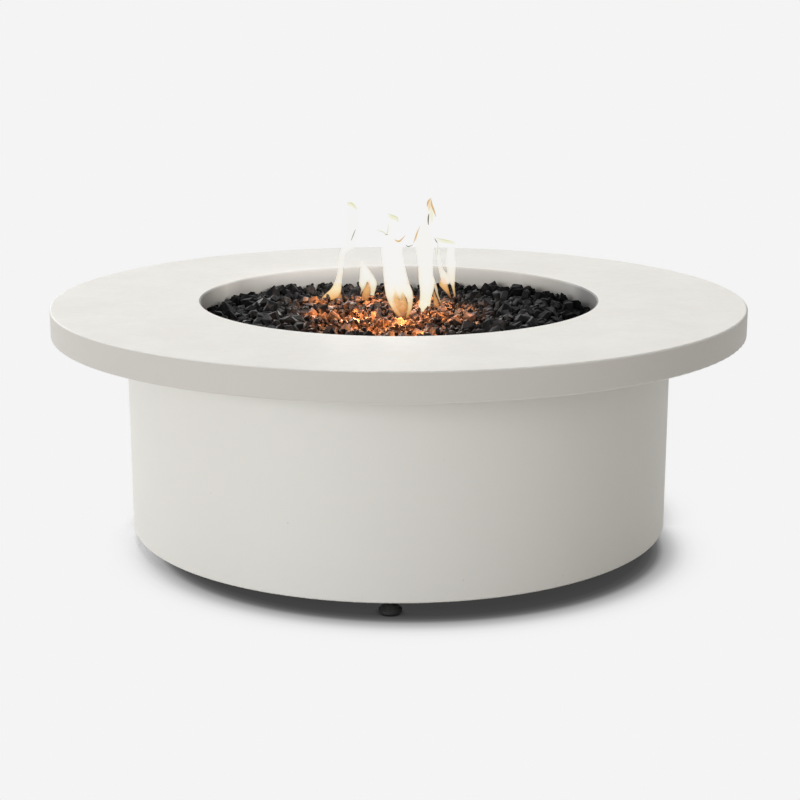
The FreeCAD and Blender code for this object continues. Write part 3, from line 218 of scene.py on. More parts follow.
slabConcrete = {
    # the side tone is painted shade: upright faces are painted darker than the face, the slab's edge most
    "face": "#E1E0DC", "cloud": "#DCDAD5", "side": "#C6C2BD", "pinhole": "#A8A29A",
    # the wall round the fire, with painted light and shade: darkest at the ends and darker down by the rock.
    # Its radius, how much darker it is down by the rock between which levels, and its painted tone from left
    # to right, metres
    "wallRadius": 0.3385, "wallLowShade": ("#E2E2E2", 0.384, 0.402),
    "wallLightShadeTones": [(-0.337, "#83827F"), (-0.325, "#BEBDBA"), (-0.311, "#E0DFDC"), (-0.290, "#C9C8C6"),
                  (-0.268, "#D5D4D3"), (-0.234, "#D4D3D3"), (-0.182, "#D1D0CF"), (0.0, "#CDCAC6"),
                  (0.166, "#C3C0BB"), (0.217, "#C4C1BC"), (0.252, "#B8B5B0"), (0.284, "#AAA8A4"),
                  (0.306, "#A5A4A2"), (0.320, "#7C7B7A"), (0.330, "#706F6E")],
    "cloudSize": 120, "mottleSize": 16, "mottleShare": 0.35, "grainSize": 1.6,   # mm
    "pinholeSize": 1.7, "pinholeSpacing": 30, "pinholesLeftOut": 0.62, "pinholeDepth": -4.0,
    "satin": (0.50, 0.64), "relief": 0.35, "reliefDepth": 0.00012,
}
# the drum's upright faces take its side tone, painted a little darker than its face as shade
drumConcrete = dict(slabConcrete, side="#DEDCD7", face="#E4E1DC", cloud="#DCD9D3", wallLightShadeTones=None)


def makeConcrete(name, look):
    material, add, shader, place = newFinish(name, look["face"], 0.6, ior=1.48)
    clouds = add("TexNoise",
                 {"Vector": place, "Scale": perMetre(look["cloudSize"]), "Detail": 4.0, "Roughness": 0.6})
    cloudShare = add("MapRange", {"Value": clouds, "From Min": 0.35, "From Max": 0.7})
    mottle = add("TexNoise",
                 {"Vector": place, "Scale": perMetre(look["mottleSize"]), "Detail": 6.0, "Roughness": 0.65})
    mottleShare = add("MapRange",
                      {"Value": mottle, "From Min": 0.3, "From Max": 0.75, "To Max": look["mottleShare"]})
    both = add("Math", {0: cloudShare, 1: mottleShare}, operation="ADD", use_clamp=True)
    skin = add("Mix", {0: both, 6: linear(look["face"]), 7: linear(look["cloud"])}, data_type="RGBA")
    normal = add("TexCoord").outputs["Normal"]
    upright = add("SeparateXYZ", {0: normal}).outputs["Z"]
    level = add("Math", {0: upright}, operation="ABSOLUTE")
    # painted shade: upright faces take the darker side tone
    uprightShadeShare = add("MapRange",
                    {"Value": level, "From Min": 0.25, "From Max": 0.8, "To Min": 1.0, "To Max": 0.0})
    shadedSkin = add("Mix", {0: uprightShadeShare, 6: skin, 7: linear(look["side"])}, data_type="RGBA")
    # the wall round the fire takes painted light and shade along it, darkest at the ends
    if look["wallLightShadeTones"]:
        flat = add("Mapping", {"Vector": place, "Scale": (1, 1, 0)}, vector_type="POINT")
        away = add("VectorMath", {0: flat}, operation="LENGTH")
        inside = add("Math", {0: away, 1: look["wallRadius"]}, operation="LESS_THAN")
        spot = add("SeparateXYZ", {0: place}).outputs
        wall = toneRamp(add, spot["X"], look["wallLightShadeTones"])
        darker, bottom, top = look["wallLowShade"]
        low = add("MapRange",
                  {"Value": spot["Z"], "From Min": bottom, "From Max": top, "To Min": 1.0, "To Max": 0.0})
        # painted shade: the wall is darker down by the rock
        wallLightAndShade = add("Mix", {0: low, 6: wall, 7: linear(darker)}, data_type="RGBA", blend_type="MULTIPLY")
        shadedSkin = add("Mix", {0: inside, 6: shadedSkin, 7: wallLightAndShade}, data_type="RGBA")
    holes = add("TexVoronoi", {"Vector": place, "Scale": perMetre(look["pinholeSpacing"])})
    reach = look["pinholeSize"] / look["pinholeSpacing"] / 2
    holeShare = add("MapRange", {"Value": holes, "From Min": reach * 0.6, "From Max": reach * 1.3,
                                 "To Min": 1.0, "To Max": 0.0})
    pick = add("SeparateColor", {0: holes.outputs["Color"]})
    some = add("Math", {0: pick, 1: look["pinholesLeftOut"]}, operation="GREATER_THAN")
    hole = add("Math", {0: holeShare, 1: some}, operation="MULTIPLY")
    colour = add("Mix", {0: hole, 6: shadedSkin, 7: linear(look["pinhole"])}, data_type="RGBA")
    sheen = add("MapRange", {"Value": mottle, "From Min": 0.3, "From Max": 0.7, "To Min": look["satin"][0],
                             "To Max": look["satin"][1]})
    grain = add("TexNoise", {"Vector": place, "Scale": perMetre(look["grainSize"]), "Detail": 3.0})
    relief = add("Math", {0: hole, 1: look["pinholeDepth"], 2: grain}, operation="MULTIPLY_ADD")
    bump = add("Bump", {"Height": relief, "Strength": look["relief"], "Distance": look["reliefDepth"]})
    setInputs(shader, {"Base Color": colour, "Roughness": sheen, "Normal": bump})
    return material


paint(makeConcrete("cast slab concrete", slabConcrete), "table_top")
paint(makeConcrete("cast drum concrete", drumConcrete), "base_drum", "access_door")
print("concrete painted")


# lava rock: black volcanic glass and scoria, crushed and sieved, 15 to 30 mm.
# The eye sees flat broken facets, some with a grey glint, and rust where the burner has baked them, drawn
# warmer as painted firelight.

lavaLook = {
    "glass": "#131314", "break": "#2F2F30", "rust": "#493B34", "baked": "#151112",
    "soot": "#0C0C0C", "matteShadeShare": 0.85,   # painted shade: the rock furthest from the flames is drawn matt near black, without its glint
    "patchSize": 11, "pitSize": 2.2, "chipSize": 6,   # mm
    "glint": (0.26, 0.7), "shine": 0.09, "relief": 0.4, "reliefDepth": 0.0007,
}


def makeLava(look):
    material, add, shader, place = newFinish("crushed lava rock", look["glass"], 0.45)
    facet = add("Attribute", attribute_name="facet").outputs["Fac"]
    warmth = add("Attribute", attribute_name="warmth").outputs["Fac"]
    # round the flames the rock turns rust brown: rust baked on by the burner, drawn warmer as painted
    # firelight
    heat = add("MapRange", {"Value": warmth, "From Min": 0.5, "From Max": 1.0})
    patches = add("TexNoise",
                  {"Vector": place, "Scale": perMetre(look["patchSize"]), "Detail": 4.0, "Roughness": 0.6})
    fresh = add("MapRange",
                {"Value": facet, "From Min": 0.45, "From Max": 1.0}, interpolation_type="SMOOTHSTEP")
    stone = add("Mix", {0: fresh, 6: linear(look["glass"]), 7: linear(look["break"])}, data_type="RGBA")
    bakedShare = add("Math", {0: patches, 1: 2.4, 2: facet}, operation="MULTIPLY_ADD")
    baked = add("MapRange",
                {"Value": bakedShare, "From Min": 1.35, "From Max": 2.0}, interpolation_type="SMOOTHSTEP")
    rust = add("Mix", {0: baked, 6: linear(look["baked"]), 7: linear(look["rust"])}, data_type="RGBA")
    colour = add("Mix", {0: heat, 6: stone, 7: rust}, data_type="RGBA")
    glint = add("MapRange", {"Value": facet, "From Min": 0.0, "From Max": 1.0, "To Min": look["glint"][1],
                             "To Max": look["glint"][0]})
    pits = add("TexVoronoi",
               {"Vector": place, "Scale": perMetre(look["pitSize"]), "Smoothness": 0.4}, feature="SMOOTH_F1")
    chips = add("TexNoise",
                {"Vector": place, "Scale": perMetre(look["chipSize"]), "Detail": 5.0, "Roughness": 0.6})
    relief = add("Math", {0: chips, 1: 2.5, 2: pits}, operation="MULTIPLY_ADD")
    bump = add("Bump", {"Height": relief, "Strength": look["relief"], "Distance": look["reliefDepth"]})
    setInputs(shader, {"Base Color": colour, "Roughness": glint, "Normal": bump,
                       "Specular IOR Level": look["shine"]})
    # painted shade: the rock furthest from the flames gets a matt near-black skin with no glint
    soot = add("BsdfDiffuse", {"Color": linear(look["soot"]), "Roughness": 1.0, "Normal": bump})
    endShadeMix = add("MapRange", {"Value": warmth, "From Min": 0.0, "From Max": 0.5, "To Min": look["matteShadeShare"],
                              "To Max": 0.0})
    skin = add("MixShader", {0: endShadeMix, 1: shader, 2: soot})
    setInputs(material.node_tree.nodes["Material Output"], {"Surface": skin})
    return material


lavaFinish = makeLava(lavaLook)
paint(lavaFinish, "lava_rock_bed", "lava_rock_top")

rockPile = {
    "seed": 23,
    "openingRadius": 0.3355,
    "bedTop": 0.358,
    "highest": 0.382,
    "bank": 0.013, "bankFrom": (0.10, 0.22),   # the rock lies higher towards the left and right ends
    "small": 0.0105, "large": 0.0200,   # half the length of a lump
    "favourSmall": 1.2,                 # 1 would give as many large lumps as small ones
    "closeness": 0.55,                  # of the two half lengths added
    "tries": 16000,
    "heave": 0.75, "standOut": 0.78,    # how far a lump lies up, and stands out of the pile, in half lengths
    "chips": 1500, "chipSize": (0.0035, 0.0080), "chipLift": (0.006, 0.021),
    "hotMiddle": (-0.030, -0.030), "hotReach": (0.180, 0.265),
    "hottest": 1.45, "coolsBy": 0.8, "heatDiffers": 0.2,
    # the broken shapes: how many, their corners, and how long, wide and thick
    "shapes": 14, "corners": 15, "cornerTries": 7,
    "cornerReach": (0.74, 1.0), "width": (0.66, 0.9), "thickness": (0.5, 0.78),
}


def clampedShare(value):
    return max(0.0, min(1.0, value))


def brokenLump(name, chance, look):
    # a hull round a few corners that keep apart: flat facets with sharp edges, as a crusher leaves
    found = []
    while len(found) < look["corners"]:
        tries = [Vector((chance.gauss(0, 1), chance.gauss(0, 1), chance.gauss(0, 1))).normalized()
                 for _ in range(look["cornerTries"])]
        found.append(max(tries, key=lambda spot: min([(spot - other).length for other in found], default=0)))
    shape = bmesh.new()
    for spot in found:
        shape.verts.new(spot * chance.uniform(*look["cornerReach"]))
    bmesh.ops.convex_hull(shape, input=shape.verts)
    stretch = Matrix.Diagonal((1.0, chance.uniform(*look["width"]), chance.uniform(*look["thickness"]), 1.0))
    bmesh.ops.transform(shape, matrix=stretch, verts=shape.verts)
    reach = max(vertex.co.length for vertex in shape.verts)
    bmesh.ops.scale(shape, vec=(1 / reach,) * 3, verts=shape.verts)
    bmesh.ops.recalc_face_normals(shape, faces=shape.faces)
    mesh = bpy.data.meshes.new(name)
    shape.to_mesh(mesh)
    shape.free()
    return bpy.data.objects.new(name, mesh)


def pileLumps(look):
    chance = random.Random(look["seed"])

    def anySpot(size):
        radius = (look["openingRadius"] - size) * math.sqrt(chance.random())
        angle = chance.uniform(0, 2 * math.pi)
        return radius * math.cos(angle), radius * math.sin(angle)

    found = numpy.zeros((0, 3))
    lumps = []
    for _ in range(look["tries"]):
        size = look["small"] + (look["large"] - look["small"]) * chance.random() ** look["favourSmall"]
        x, y = anySpot(size)
        gap = numpy.hypot(found[:, 0] - x, found[:, 1] - y)
        if (gap < look["closeness"] * (found[:, 2] + size)).any():
            continue
        found = numpy.vstack([found, (x, y, size)])
        near, far = look["bankFrom"]
        bank = look["bank"] * clampedShare((abs(x) - near) / (far - near))
        lift = look["bedTop"] + bank + size * chance.uniform(0.0, look["heave"])
        lumps.append((x, y, min(lift, look["highest"] + bank - size * look["standOut"]), size))
    for _ in range(look["chips"]):     # small chips lie in the hollows between the lumps
        size = chance.uniform(*look["chipSize"])
        lumps.append((*anySpot(size), look["bedTop"] + chance.uniform(*look["chipLift"]), size))
    heats = []     # 1 baked by the burner with painted firelight, 0.5 plain, 0 in painted shade
    for x, y, z, size in lumps:
        away = math.hypot((x - look["hotMiddle"][0]) / look["hotReach"][0],
                          (y - look["hotMiddle"][1]) / look["hotReach"][1])
        differs = chance.uniform(-look["heatDiffers"], look["heatDiffers"])
        heats.append(clampedShare(look["hottest"] - look["coolsBy"] * away + differs))
    return lumps, heats


def layLavaRock(look):
    chance = random.Random(look["seed"] + 1)
    shapes = bpy.data.collections.new("lava lumps")
    for i in range(look["shapes"]):
        shapes.objects.link(brokenLump(f"lump {i}", chance, look))
    lumps, heats = pileLumps(look)
    points = bpy.data.meshes.new("lump places")
    points.from_pydata([lump[:3] for lump in lumps], [], [])
    for name, values in (("size", [lump[3] for lump in lumps]), ("warmth", heats)):
        points.attributes.new(name, "FLOAT", "POINT").data.foreach_set("value", values)
    holder = addObject("lump places", points)

    tree, sockets, add = newGeometryTree("strewn lava rock", {
        "Lump places": "Geometry", "Lump shapes": "Collection", "Last shape": "Int", "Size factor": "Float",
        "Seed": "Int", "Finish": "Material"}, "Rock")
    given = add("NodeGroupInput").outputs
    lumpShapes = add("GeometryNodeCollectionInfo",
                     {"Collection": given["Lump shapes"], "Separate Children": True, "Reset Children": True})
    whichShape = add("FunctionNodeRandomValue",
                     {4: 0, 5: given["Last shape"], "Seed": given["Seed"]}, data_type="INT")
    anyTurn = add("FunctionNodeRandomValue",
                  {0: (0, 0, 0), 1: (2 * math.pi,) * 3, "Seed": given["Seed"]}, data_type="FLOAT_VECTOR")
    ownSize = add("GeometryNodeInputNamedAttribute", {"Name": "size"}, data_type="FLOAT")
    size = add("Math", {0: ownSize, 1: given["Size factor"]}, operation="MULTIPLY")
    strewn = add("GeometryNodeInstanceOnPoints", {"Points": given["Lump places"], "Instance": lumpShapes,
                                                  "Pick Instance": True, "Instance Index": whichShape,
                                                  "Rotation": anyTurn, "Scale": size})
    whole = add("GeometryNodeRealizeInstances", {"Geometry": strewn})
    anyFacet = add("FunctionNodeRandomValue", {2: 0.0, 3: 1.0, "Seed": given["Seed"]}, data_type="FLOAT")
    marked = add("GeometryNodeStoreNamedAttribute",
                 {"Geometry": whole, "Name": "facet", "Value": anyFacet}, data_type="FLOAT", domain="FACE")
    faceted = add("GeometryNodeSetShadeSmooth", {"Geometry": marked, "Shade Smooth": False})
    finished = add("GeometryNodeSetMaterial", {"Geometry": faceted, "Material": given["Finish"]})
    add("NodeGroupOutput", {"Rock": finished})

    mesh = growMesh(holder, tree, sockets, {"Lump shapes": shapes, "Last shape": look["shapes"] - 1,
                                            "Size factor": 1.0, "Seed": look["seed"], "Finish": lavaFinish})
    for lump in list(shapes.objects):
        bpy.data.objects.remove(lump)
    bpy.data.collections.remove(shapes)
    rock = newPiece("strewn_lava_rock", mesh, "table", lavaFinish)
    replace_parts(rock, "lava_rock_top")
    print("lava rock strewn:", len(lumps), "lumps,", len(mesh.polygons), "faces")
    return rock


lavaRock = layLavaRock(rockPile)


# metals, plastics and the rest. Sizes in mm; what is too fine to show in the picture is drawn coarser

# stainless steel: cold-rolled sheet, belt brushed. Long fine scratches that draw the light out into streaks;
# the real ones are 0.1 mm wide, so they are drawn coarser. On the control panel they run level.
sheetLook = {"colour": "#C6C4C0", "roughness": 0.32, "tooth": 0.8, "along": (1.0, 1.0, 0.03)}
panelLook = dict(sheetLook, roughness=0.30, along=(0.03, 0.03, 1.0))


def makeBrushed(name, look):
    material, add, shader, place = newFinish(name, look["colour"], look["roughness"], metallic=1.0)
    stretch = add("Mapping", {"Vector": place, "Scale": look["along"]}, vector_type="POINT")
    streaks = add("TexNoise",
                  {"Vector": stretch, "Scale": perMetre(look["tooth"]), "Detail": 4.0, "Roughness": 0.7})
    tone = add("Mix", {0: 0.35, 6: linear(look["colour"]), 7: streaks.outputs["Color"]},
               data_type="RGBA", blend_type="MULTIPLY")
    shine = add("MapRange", {"Value": streaks, "From Min": 0.3, "From Max": 0.7,
                             "To Min": look["roughness"] - 0.06, "To Max": look["roughness"] + 0.12})
    bump = add("Bump", {"Height": streaks, "Strength": 0.25, "Distance": 0.0001})
    setInputs(shader, {"Base Color": tone, "Roughness": shine, "Normal": bump})
    return material


# stainless tube: rolled and welded, then coloured by the fire. Straw, brown and blue patches, dull with scale.
tubeLook = {
    "colour": "#A39A90", "patch": 38, "tooth": 1.4, "dull": (0.3, 0.62),
    "tints": [(0.36, "#B3A896"), (0.46, "#A88E66"), (0.54, "#7E6250"), (0.63, "#5F6072")],
}


def makeHeatTinted(name, look):
    material, add, shader, place = newFinish(name, look["colour"], 0.4, metallic=1.0)
    patches = add("TexNoise", {"Vector": place, "Scale": perMetre(look["patch"]), "Detail": 4.0})
    tint = toneRamp(add, patches, look["tints"])
    scale = add("TexNoise",
                {"Vector": place, "Scale": perMetre(look["tooth"]), "Detail": 5.0, "Roughness": 0.7})
    dull = add("MapRange", {"Value": scale, "From Min": 0.35, "From Max": 0.7,
                            "To Min": look["dull"][0], "To Max": look["dull"][1]})
    bump = add("Bump", {"Height": scale, "Strength": 0.3, "Distance": 0.0001})
    setInputs(shader, {"Base Color": tint, "Roughness": dull, "Normal": bump})
    return material


# stainless wire: braided over the hose, over and under. Small bright strands that stand proud, with painted
# shade in the gaps between them; the real wires are 0.3 mm thick, so the strands are drawn coarser.
braidLook = {"colour": "#B9BABB", "gap": "#4B4B4C", "cell": 1.9, "roughness": 0.34, "depth": 0.5}


def makeWoven(name, look):
    material, add, shader, place = newFinish(name, look["colour"], look["roughness"], metallic=1.0)
    cells = add("TexVoronoi", {"Vector": place, "Scale": perMetre(look["cell"]), "Randomness": 0.25},
                feature="F1", distance="CHEBYCHEV")
    # painted shade: darker towards the gaps between the strands
    tone = toneRamp(add, cells, [(0.25, look["colour"]), (0.62, look["gap"])])
    rise = add("Math", {0: 1.0, 1: cells}, operation="SUBTRACT")
    bump = add("Bump", {"Height": rise, "Strength": 0.7, "Distance": look["depth"] / 1000})
    setInputs(shader, {"Base Color": tone, "Normal": bump})
    return material


# steel stud: thread rolled, then black oxide. Near black in the grooves as painted shade, with a dull grey
# line on each ridge as a painted highlight.
studLook = {"colour": "#2A2A2B", "shade": "#101011", "pitch": 1.5, "roughness": 0.45}


def makeThreaded(name, look):
    material, add, shader, place = newFinish(name, look["colour"], look["roughness"], metallic=1.0)
    ridges = add("TexWave", {"Vector": place, "Scale": perMetre(look["pitch"]) / 20 * math.pi,
                             "Distortion": 0.0, "Detail": 0.0},
                 bands_direction="Z", wave_profile="TRI").outputs["Fac"]
    # painted shade in the grooves and a painted highlight on each ridge
    tone = toneRamp(add, ridges, [(0.1, look["shade"]), (0.8, look["colour"])])
    bump = add("Bump", {"Height": ridges, "Strength": 0.8, "Distance": look["pitch"] / 2500})
    setInputs(shader, {"Base Color": tone, "Normal": bump})
    return material


satinFinishes = {
    # stamped or turned, then plated in a barrel: a cool grey with a soft, slightly patchy shine
    "zinc-plated steel": {
        "colour": "#B9BCC0", "shade": "#A3A7AA", "roughness": 0.36, "patch": 9, "metallic": 1.0,
        "on": ["hinge_lower_drum_leaf", "hinge_upper_drum_leaf", "hinge_lower_pin", "hinge_upper_pin",
               "hinge_lower_door_leaf", "hinge_upper_door_leaf", "wall_screws", "door_screws",
               "bracket_bolts", "slab_brackets", "foot_inserts", "shutoff_lever_nut", "shutoff_bracket",
               "door_striker", "valve_stem", "valve_plunger"]},
    # forged and machined: warm yellow with the mild shine of a turned face that has begun to dull
    "machined brass": {
        "colour": "#C9A45A", "shade": "#B8914A", "roughness": 0.28, "patch": 6, "metallic": 1.0,
        "on": ["gas_valve_body", "valve_panel_nut", "shutoff_valve_body", "gas_inlet_fitting", "air_mixer",
               "burner_locknut"]},
    # injection moulded in a spark-eroded tool: black, with a fine even tooth that breaks up highlights
    "moulded black nylon": {
        "colour": "#1C1C1D", "shade": "#232324", "roughness": 0.42, "patch": 5, "ior": 1.53,
        "on": ["igniter_body", "igniter_button"]},
    # pressed hot in a polished mould: a harder, glossier black, with the pointer printed on
    "moulded black phenolic knob": {
        "colour": "#19191A", "shade": "#202021", "roughness": 0.34, "patch": 5, "ior": 1.6,
        "on": ["control_knob"]},
    # moulded and cured: matt black that holds a little grey dust and shows hardly any highlight
    "moulded black rubber": {
        "colour": "#101010", "shade": "#181716", "roughness": 0.7, "patch": 6, "ior": 1.52,
        "on": ["foot_pad_1", "foot_pad_2", "foot_pad_3", "foot_pad_4"]},
    # the lever is dipped hot and cures: a soft rounded yellow with a broad satin highlight
    "dipped yellow vinyl": {
        "colour": "#E0B01E", "shade": "#D3A11A", "roughness": 0.38, "patch": 8, "ior": 1.53,
        "on": ["shutoff_lever"]},
    # pressed, glazed and fired: creamy white with a quiet glassy shine
    "fired alumina": {
        "colour": "#EFECE4", "shade": "#E4DFD4", "roughness": 0.35, "patch": 5, "ior": 1.76,
        "on": ["electrode_insulator"]},
    # extruded over the wire: a dull brick red that takes the light evenly
    "red silicone sleeve": {
        "colour": "#8C2A1E", "shade": "#7A2218", "roughness": 0.5, "patch": 4, "ior": 1.43,
        "on": ["igniter_wire"]},
    # corrugated steel with an extruded coat: yellow, with a tooth that softens its highlight
    "yellow coated gas hose": {
        "colour": "#DDB53A", "shade": "#CFA42C", "roughness": 0.4, "patch": 7, "ior": 1.53, "relief": 0.3,
        "on": ["supply_hose"]},
    # drawn bare: pink brown with darker patches where fingers and air have dulled it
    "drawn copper tube": {
        "colour": "#C77C52", "shade": "#AE6540", "roughness": 0.3, "patch": 7, "metallic": 1.0,
        "on": ["thermocouple"]},
    # plated over turned steel: the brightest of the metals here, faintly warm
    "nickel plate": {
        "colour": "#C9C6BE", "shade": "#BAB6AC", "roughness": 0.22, "patch": 6, "metallic": 1.0,
        "on": ["igniter_ring_nut", "door_magnet"]},
}


def makeSatin(name, look, tooth=0.7, relief=0.08):
    # a plain skin with the faint cloud and tooth that its making leaves. The real tooth is 0.1 mm or finer,
    # so it is drawn coarser
    rough = look["roughness"]
    material, add, shader, place = newFinish(name, look["colour"], rough, look.get("metallic", 0.0),
                                             look.get("ior", 1.5))
    cloud = add("TexNoise",
                {"Vector": place, "Scale": perMetre(look["patch"]), "Detail": 5.0, "Roughness": 0.6})
    share = add("MapRange", {"Value": cloud, "From Min": 0.35, "From Max": 0.7})
    tone = add("Mix", {0: share, 6: linear(look["colour"]), 7: linear(look["shade"])}, data_type="RGBA")
    shine = add("MapRange", {"Value": cloud, "From Min": 0.3, "From Max": 0.7,
                             "To Min": max(0.05, rough - 0.07), "To Max": rough + 0.08})
    grain = add("TexNoise", {"Vector": place, "Scale": perMetre(tooth), "Detail": 2.0})
    bump = add("Bump", {"Height": grain, "Strength": 0.3, "Distance": look.get("relief", relief) / 1000})
    setInputs(shader, {"Base Color": tone, "Roughness": shine, "Normal": bump})
    return material


knobPlace = {
    "station": 46.5, "level": 0.235, "face": 0.4862,   # degrees from +X, metres up, metres from the axis
    "pointer": (0.0011, 0.0055), "pointerFrom": 0.003, "pointerTone": "#E9E7E0",
    "ticks": (0.0255, 0.0295, 0.0008), "lowestTick": -0.004, "tickTone": "#2B2B2C",
}


def printMark(material, look, kind):
    # paint laid on by a printing pad, found in the panel's own directions: outwards, along and up
    add = partial(addNode, material.node_tree)
    skin = material.node_tree.nodes["Principled BSDF"].inputs
    place = add("TexCoord").outputs["Object"]
    own = add("Mapping", {"Vector": place, "Location": (0, 0, look["level"]),
                          "Rotation": (0, 0, math.radians(look["station"]))}, vector_type="TEXTURE")
    out, along, up = add("SeparateXYZ", {0: own}).outputs
    if kind == "pointer":
        half, start = look["pointer"]
        line = insideBand(add, along, -half, half)
        reach = add("Math", {0: up, 1: start}, operation="GREATER_THAN")
        end = add("Math", {0: out, 1: look["face"] - look["pointerFrom"]}, operation="GREATER_THAN")
    else:
        near, far, half = look["ticks"]
        level = add("CombineXYZ", {"Y": along, "Z": up})
        away = add("VectorMath", {0: level}, operation="LENGTH")
        line = insideBand(add, away, near, far)
        sideways = insideBand(add, up, -half, half)
        upright = insideBand(add, along, -half, half)
        reach = add("Math", {0: sideways, 1: upright}, operation="MAXIMUM")
        end = add("Math", {0: up, 1: look["lowestTick"]}, operation="GREATER_THAN")
    mask = add("Math", {0: line, 1: reach}, operation="MULTIPLY")
    mask = add("Math", {0: mask, 1: end}, operation="MULTIPLY")
    under = skin["Base Color"].links[0].from_socket
    printed = {"Base Color": add("Mix", {0: mask, 6: under, 7: linear(look[kind + "Tone"])},
                                 data_type="RGBA")}
    metal = skin["Metallic"].default_value
    if metal > 0:
        printed["Metallic"] = add("MapRange", {"Value": mask, "To Min": metal, "To Max": 0.0})
    setInputs(material.node_tree.nodes["Principled BSDF"], printed)


paint(makeBrushed("brushed stainless sheet", sheetLook), "burner_pan", "vent_cover_left", "vent_cover_right",
      "door_pull", "electrode_holder", "thermocouple_holder")
panelSteel = makeBrushed("brushed stainless control panel", panelLook)
printMark(panelSteel, knobPlace, "tick")
paint(panelSteel, "control_panel")
paint(makeHeatTinted("heat-tinted stainless tube", tubeLook),
      "ring_burner", "burner_nipple", "spark_electrode")
paint(makeWoven("braided stainless hose", braidLook), "burner_hose")
paint(makeThreaded("black oxide thread", studLook), "foot_stud_1", "foot_stud_2", "foot_stud_3", "foot_stud_4")
satins = {name: makeSatin(name, look) for name, look in satinFinishes.items()}
for name, look in satinFinishes.items():
    paint(satins[name], *look["on"])
printMark(satins["moulded black phenolic knob"], knobPlace, "pointer")
zincSteel = satins["zinc-plated steel"]
print("small parts painted")


# fasteners: each screw and bolt is found in the frame and made again on the same seat, with its real head

fasteners = {
    # the body that they ride on, then half across the socket's corners, its depth and its sides
    "wall_screws": {"body": "table", "drive": 0.00145, "depth": 0.0012, "sides": 6},
    "door_screws": {"body": "door", "drive": 0.00145, "depth": 0.0012, "sides": 6},
    "bracket_bolts": {"body": "table", "drive": 0.00345, "depth": 0.0030, "sides": 6},
}
fastenerShape = {
    "headSides": 32, "headSteps": 4, "shankSides": 24,
    "topFrom": 0.45, "topDrawnIn": 0.16,   # the head's top edge is drawn in, as shares of height and radius
    "overlap": 0.0002,                     # of shank and head, metres
    "softBelow": 0.5,                      # edges that fold less than this are smooth, radians
}


def findFasteners(node, weld=1e-5, headShare=0.9, clear=1e-4):
    # seat, direction and sizes of each, read from its own solid: the widest part is the head
    shape = bmesh.new()
    shape.from_mesh(node.data)
    shape.transform(node.matrix_world)
    bmesh.ops.remove_doubles(shape, verts=shape.verts, dist=weld)
    left, found = dict.fromkeys(shape.verts), []     # in their order, so that each run finds the same
    while left:
        group, waiting = [], [left.popitem()[0]]
        while waiting:
            vertex = waiting.pop()
            group.append(vertex)
            for edge in vertex.link_edges:
                other = edge.other_vert(vertex)
                if other in left:
                    del left[other]
                    waiting.append(other)
        spots = numpy.array([vertex.co for vertex in group])
        middle = spots.mean(axis=0)
        way = numpy.linalg.svd(spots - middle, full_matrices=False)[2][0]
        along = (spots - middle) @ way
        radius = numpy.linalg.norm(spots - middle - numpy.outer(along, way), axis=1)
        wide = radius > headShare * radius.max()
        if along[wide].mean() < (along.min() + along.max()) / 2:
            way, along = -way, -along
        seat = along[wide].min()
        sizes = (radius.max(), along.max() - seat, radius[along < seat - clear].max(), seat - along.min())
        found.append((middle + way * seat, way, tuple(round(float(size), 5) for size in sizes)))
    shape.free()
    return found


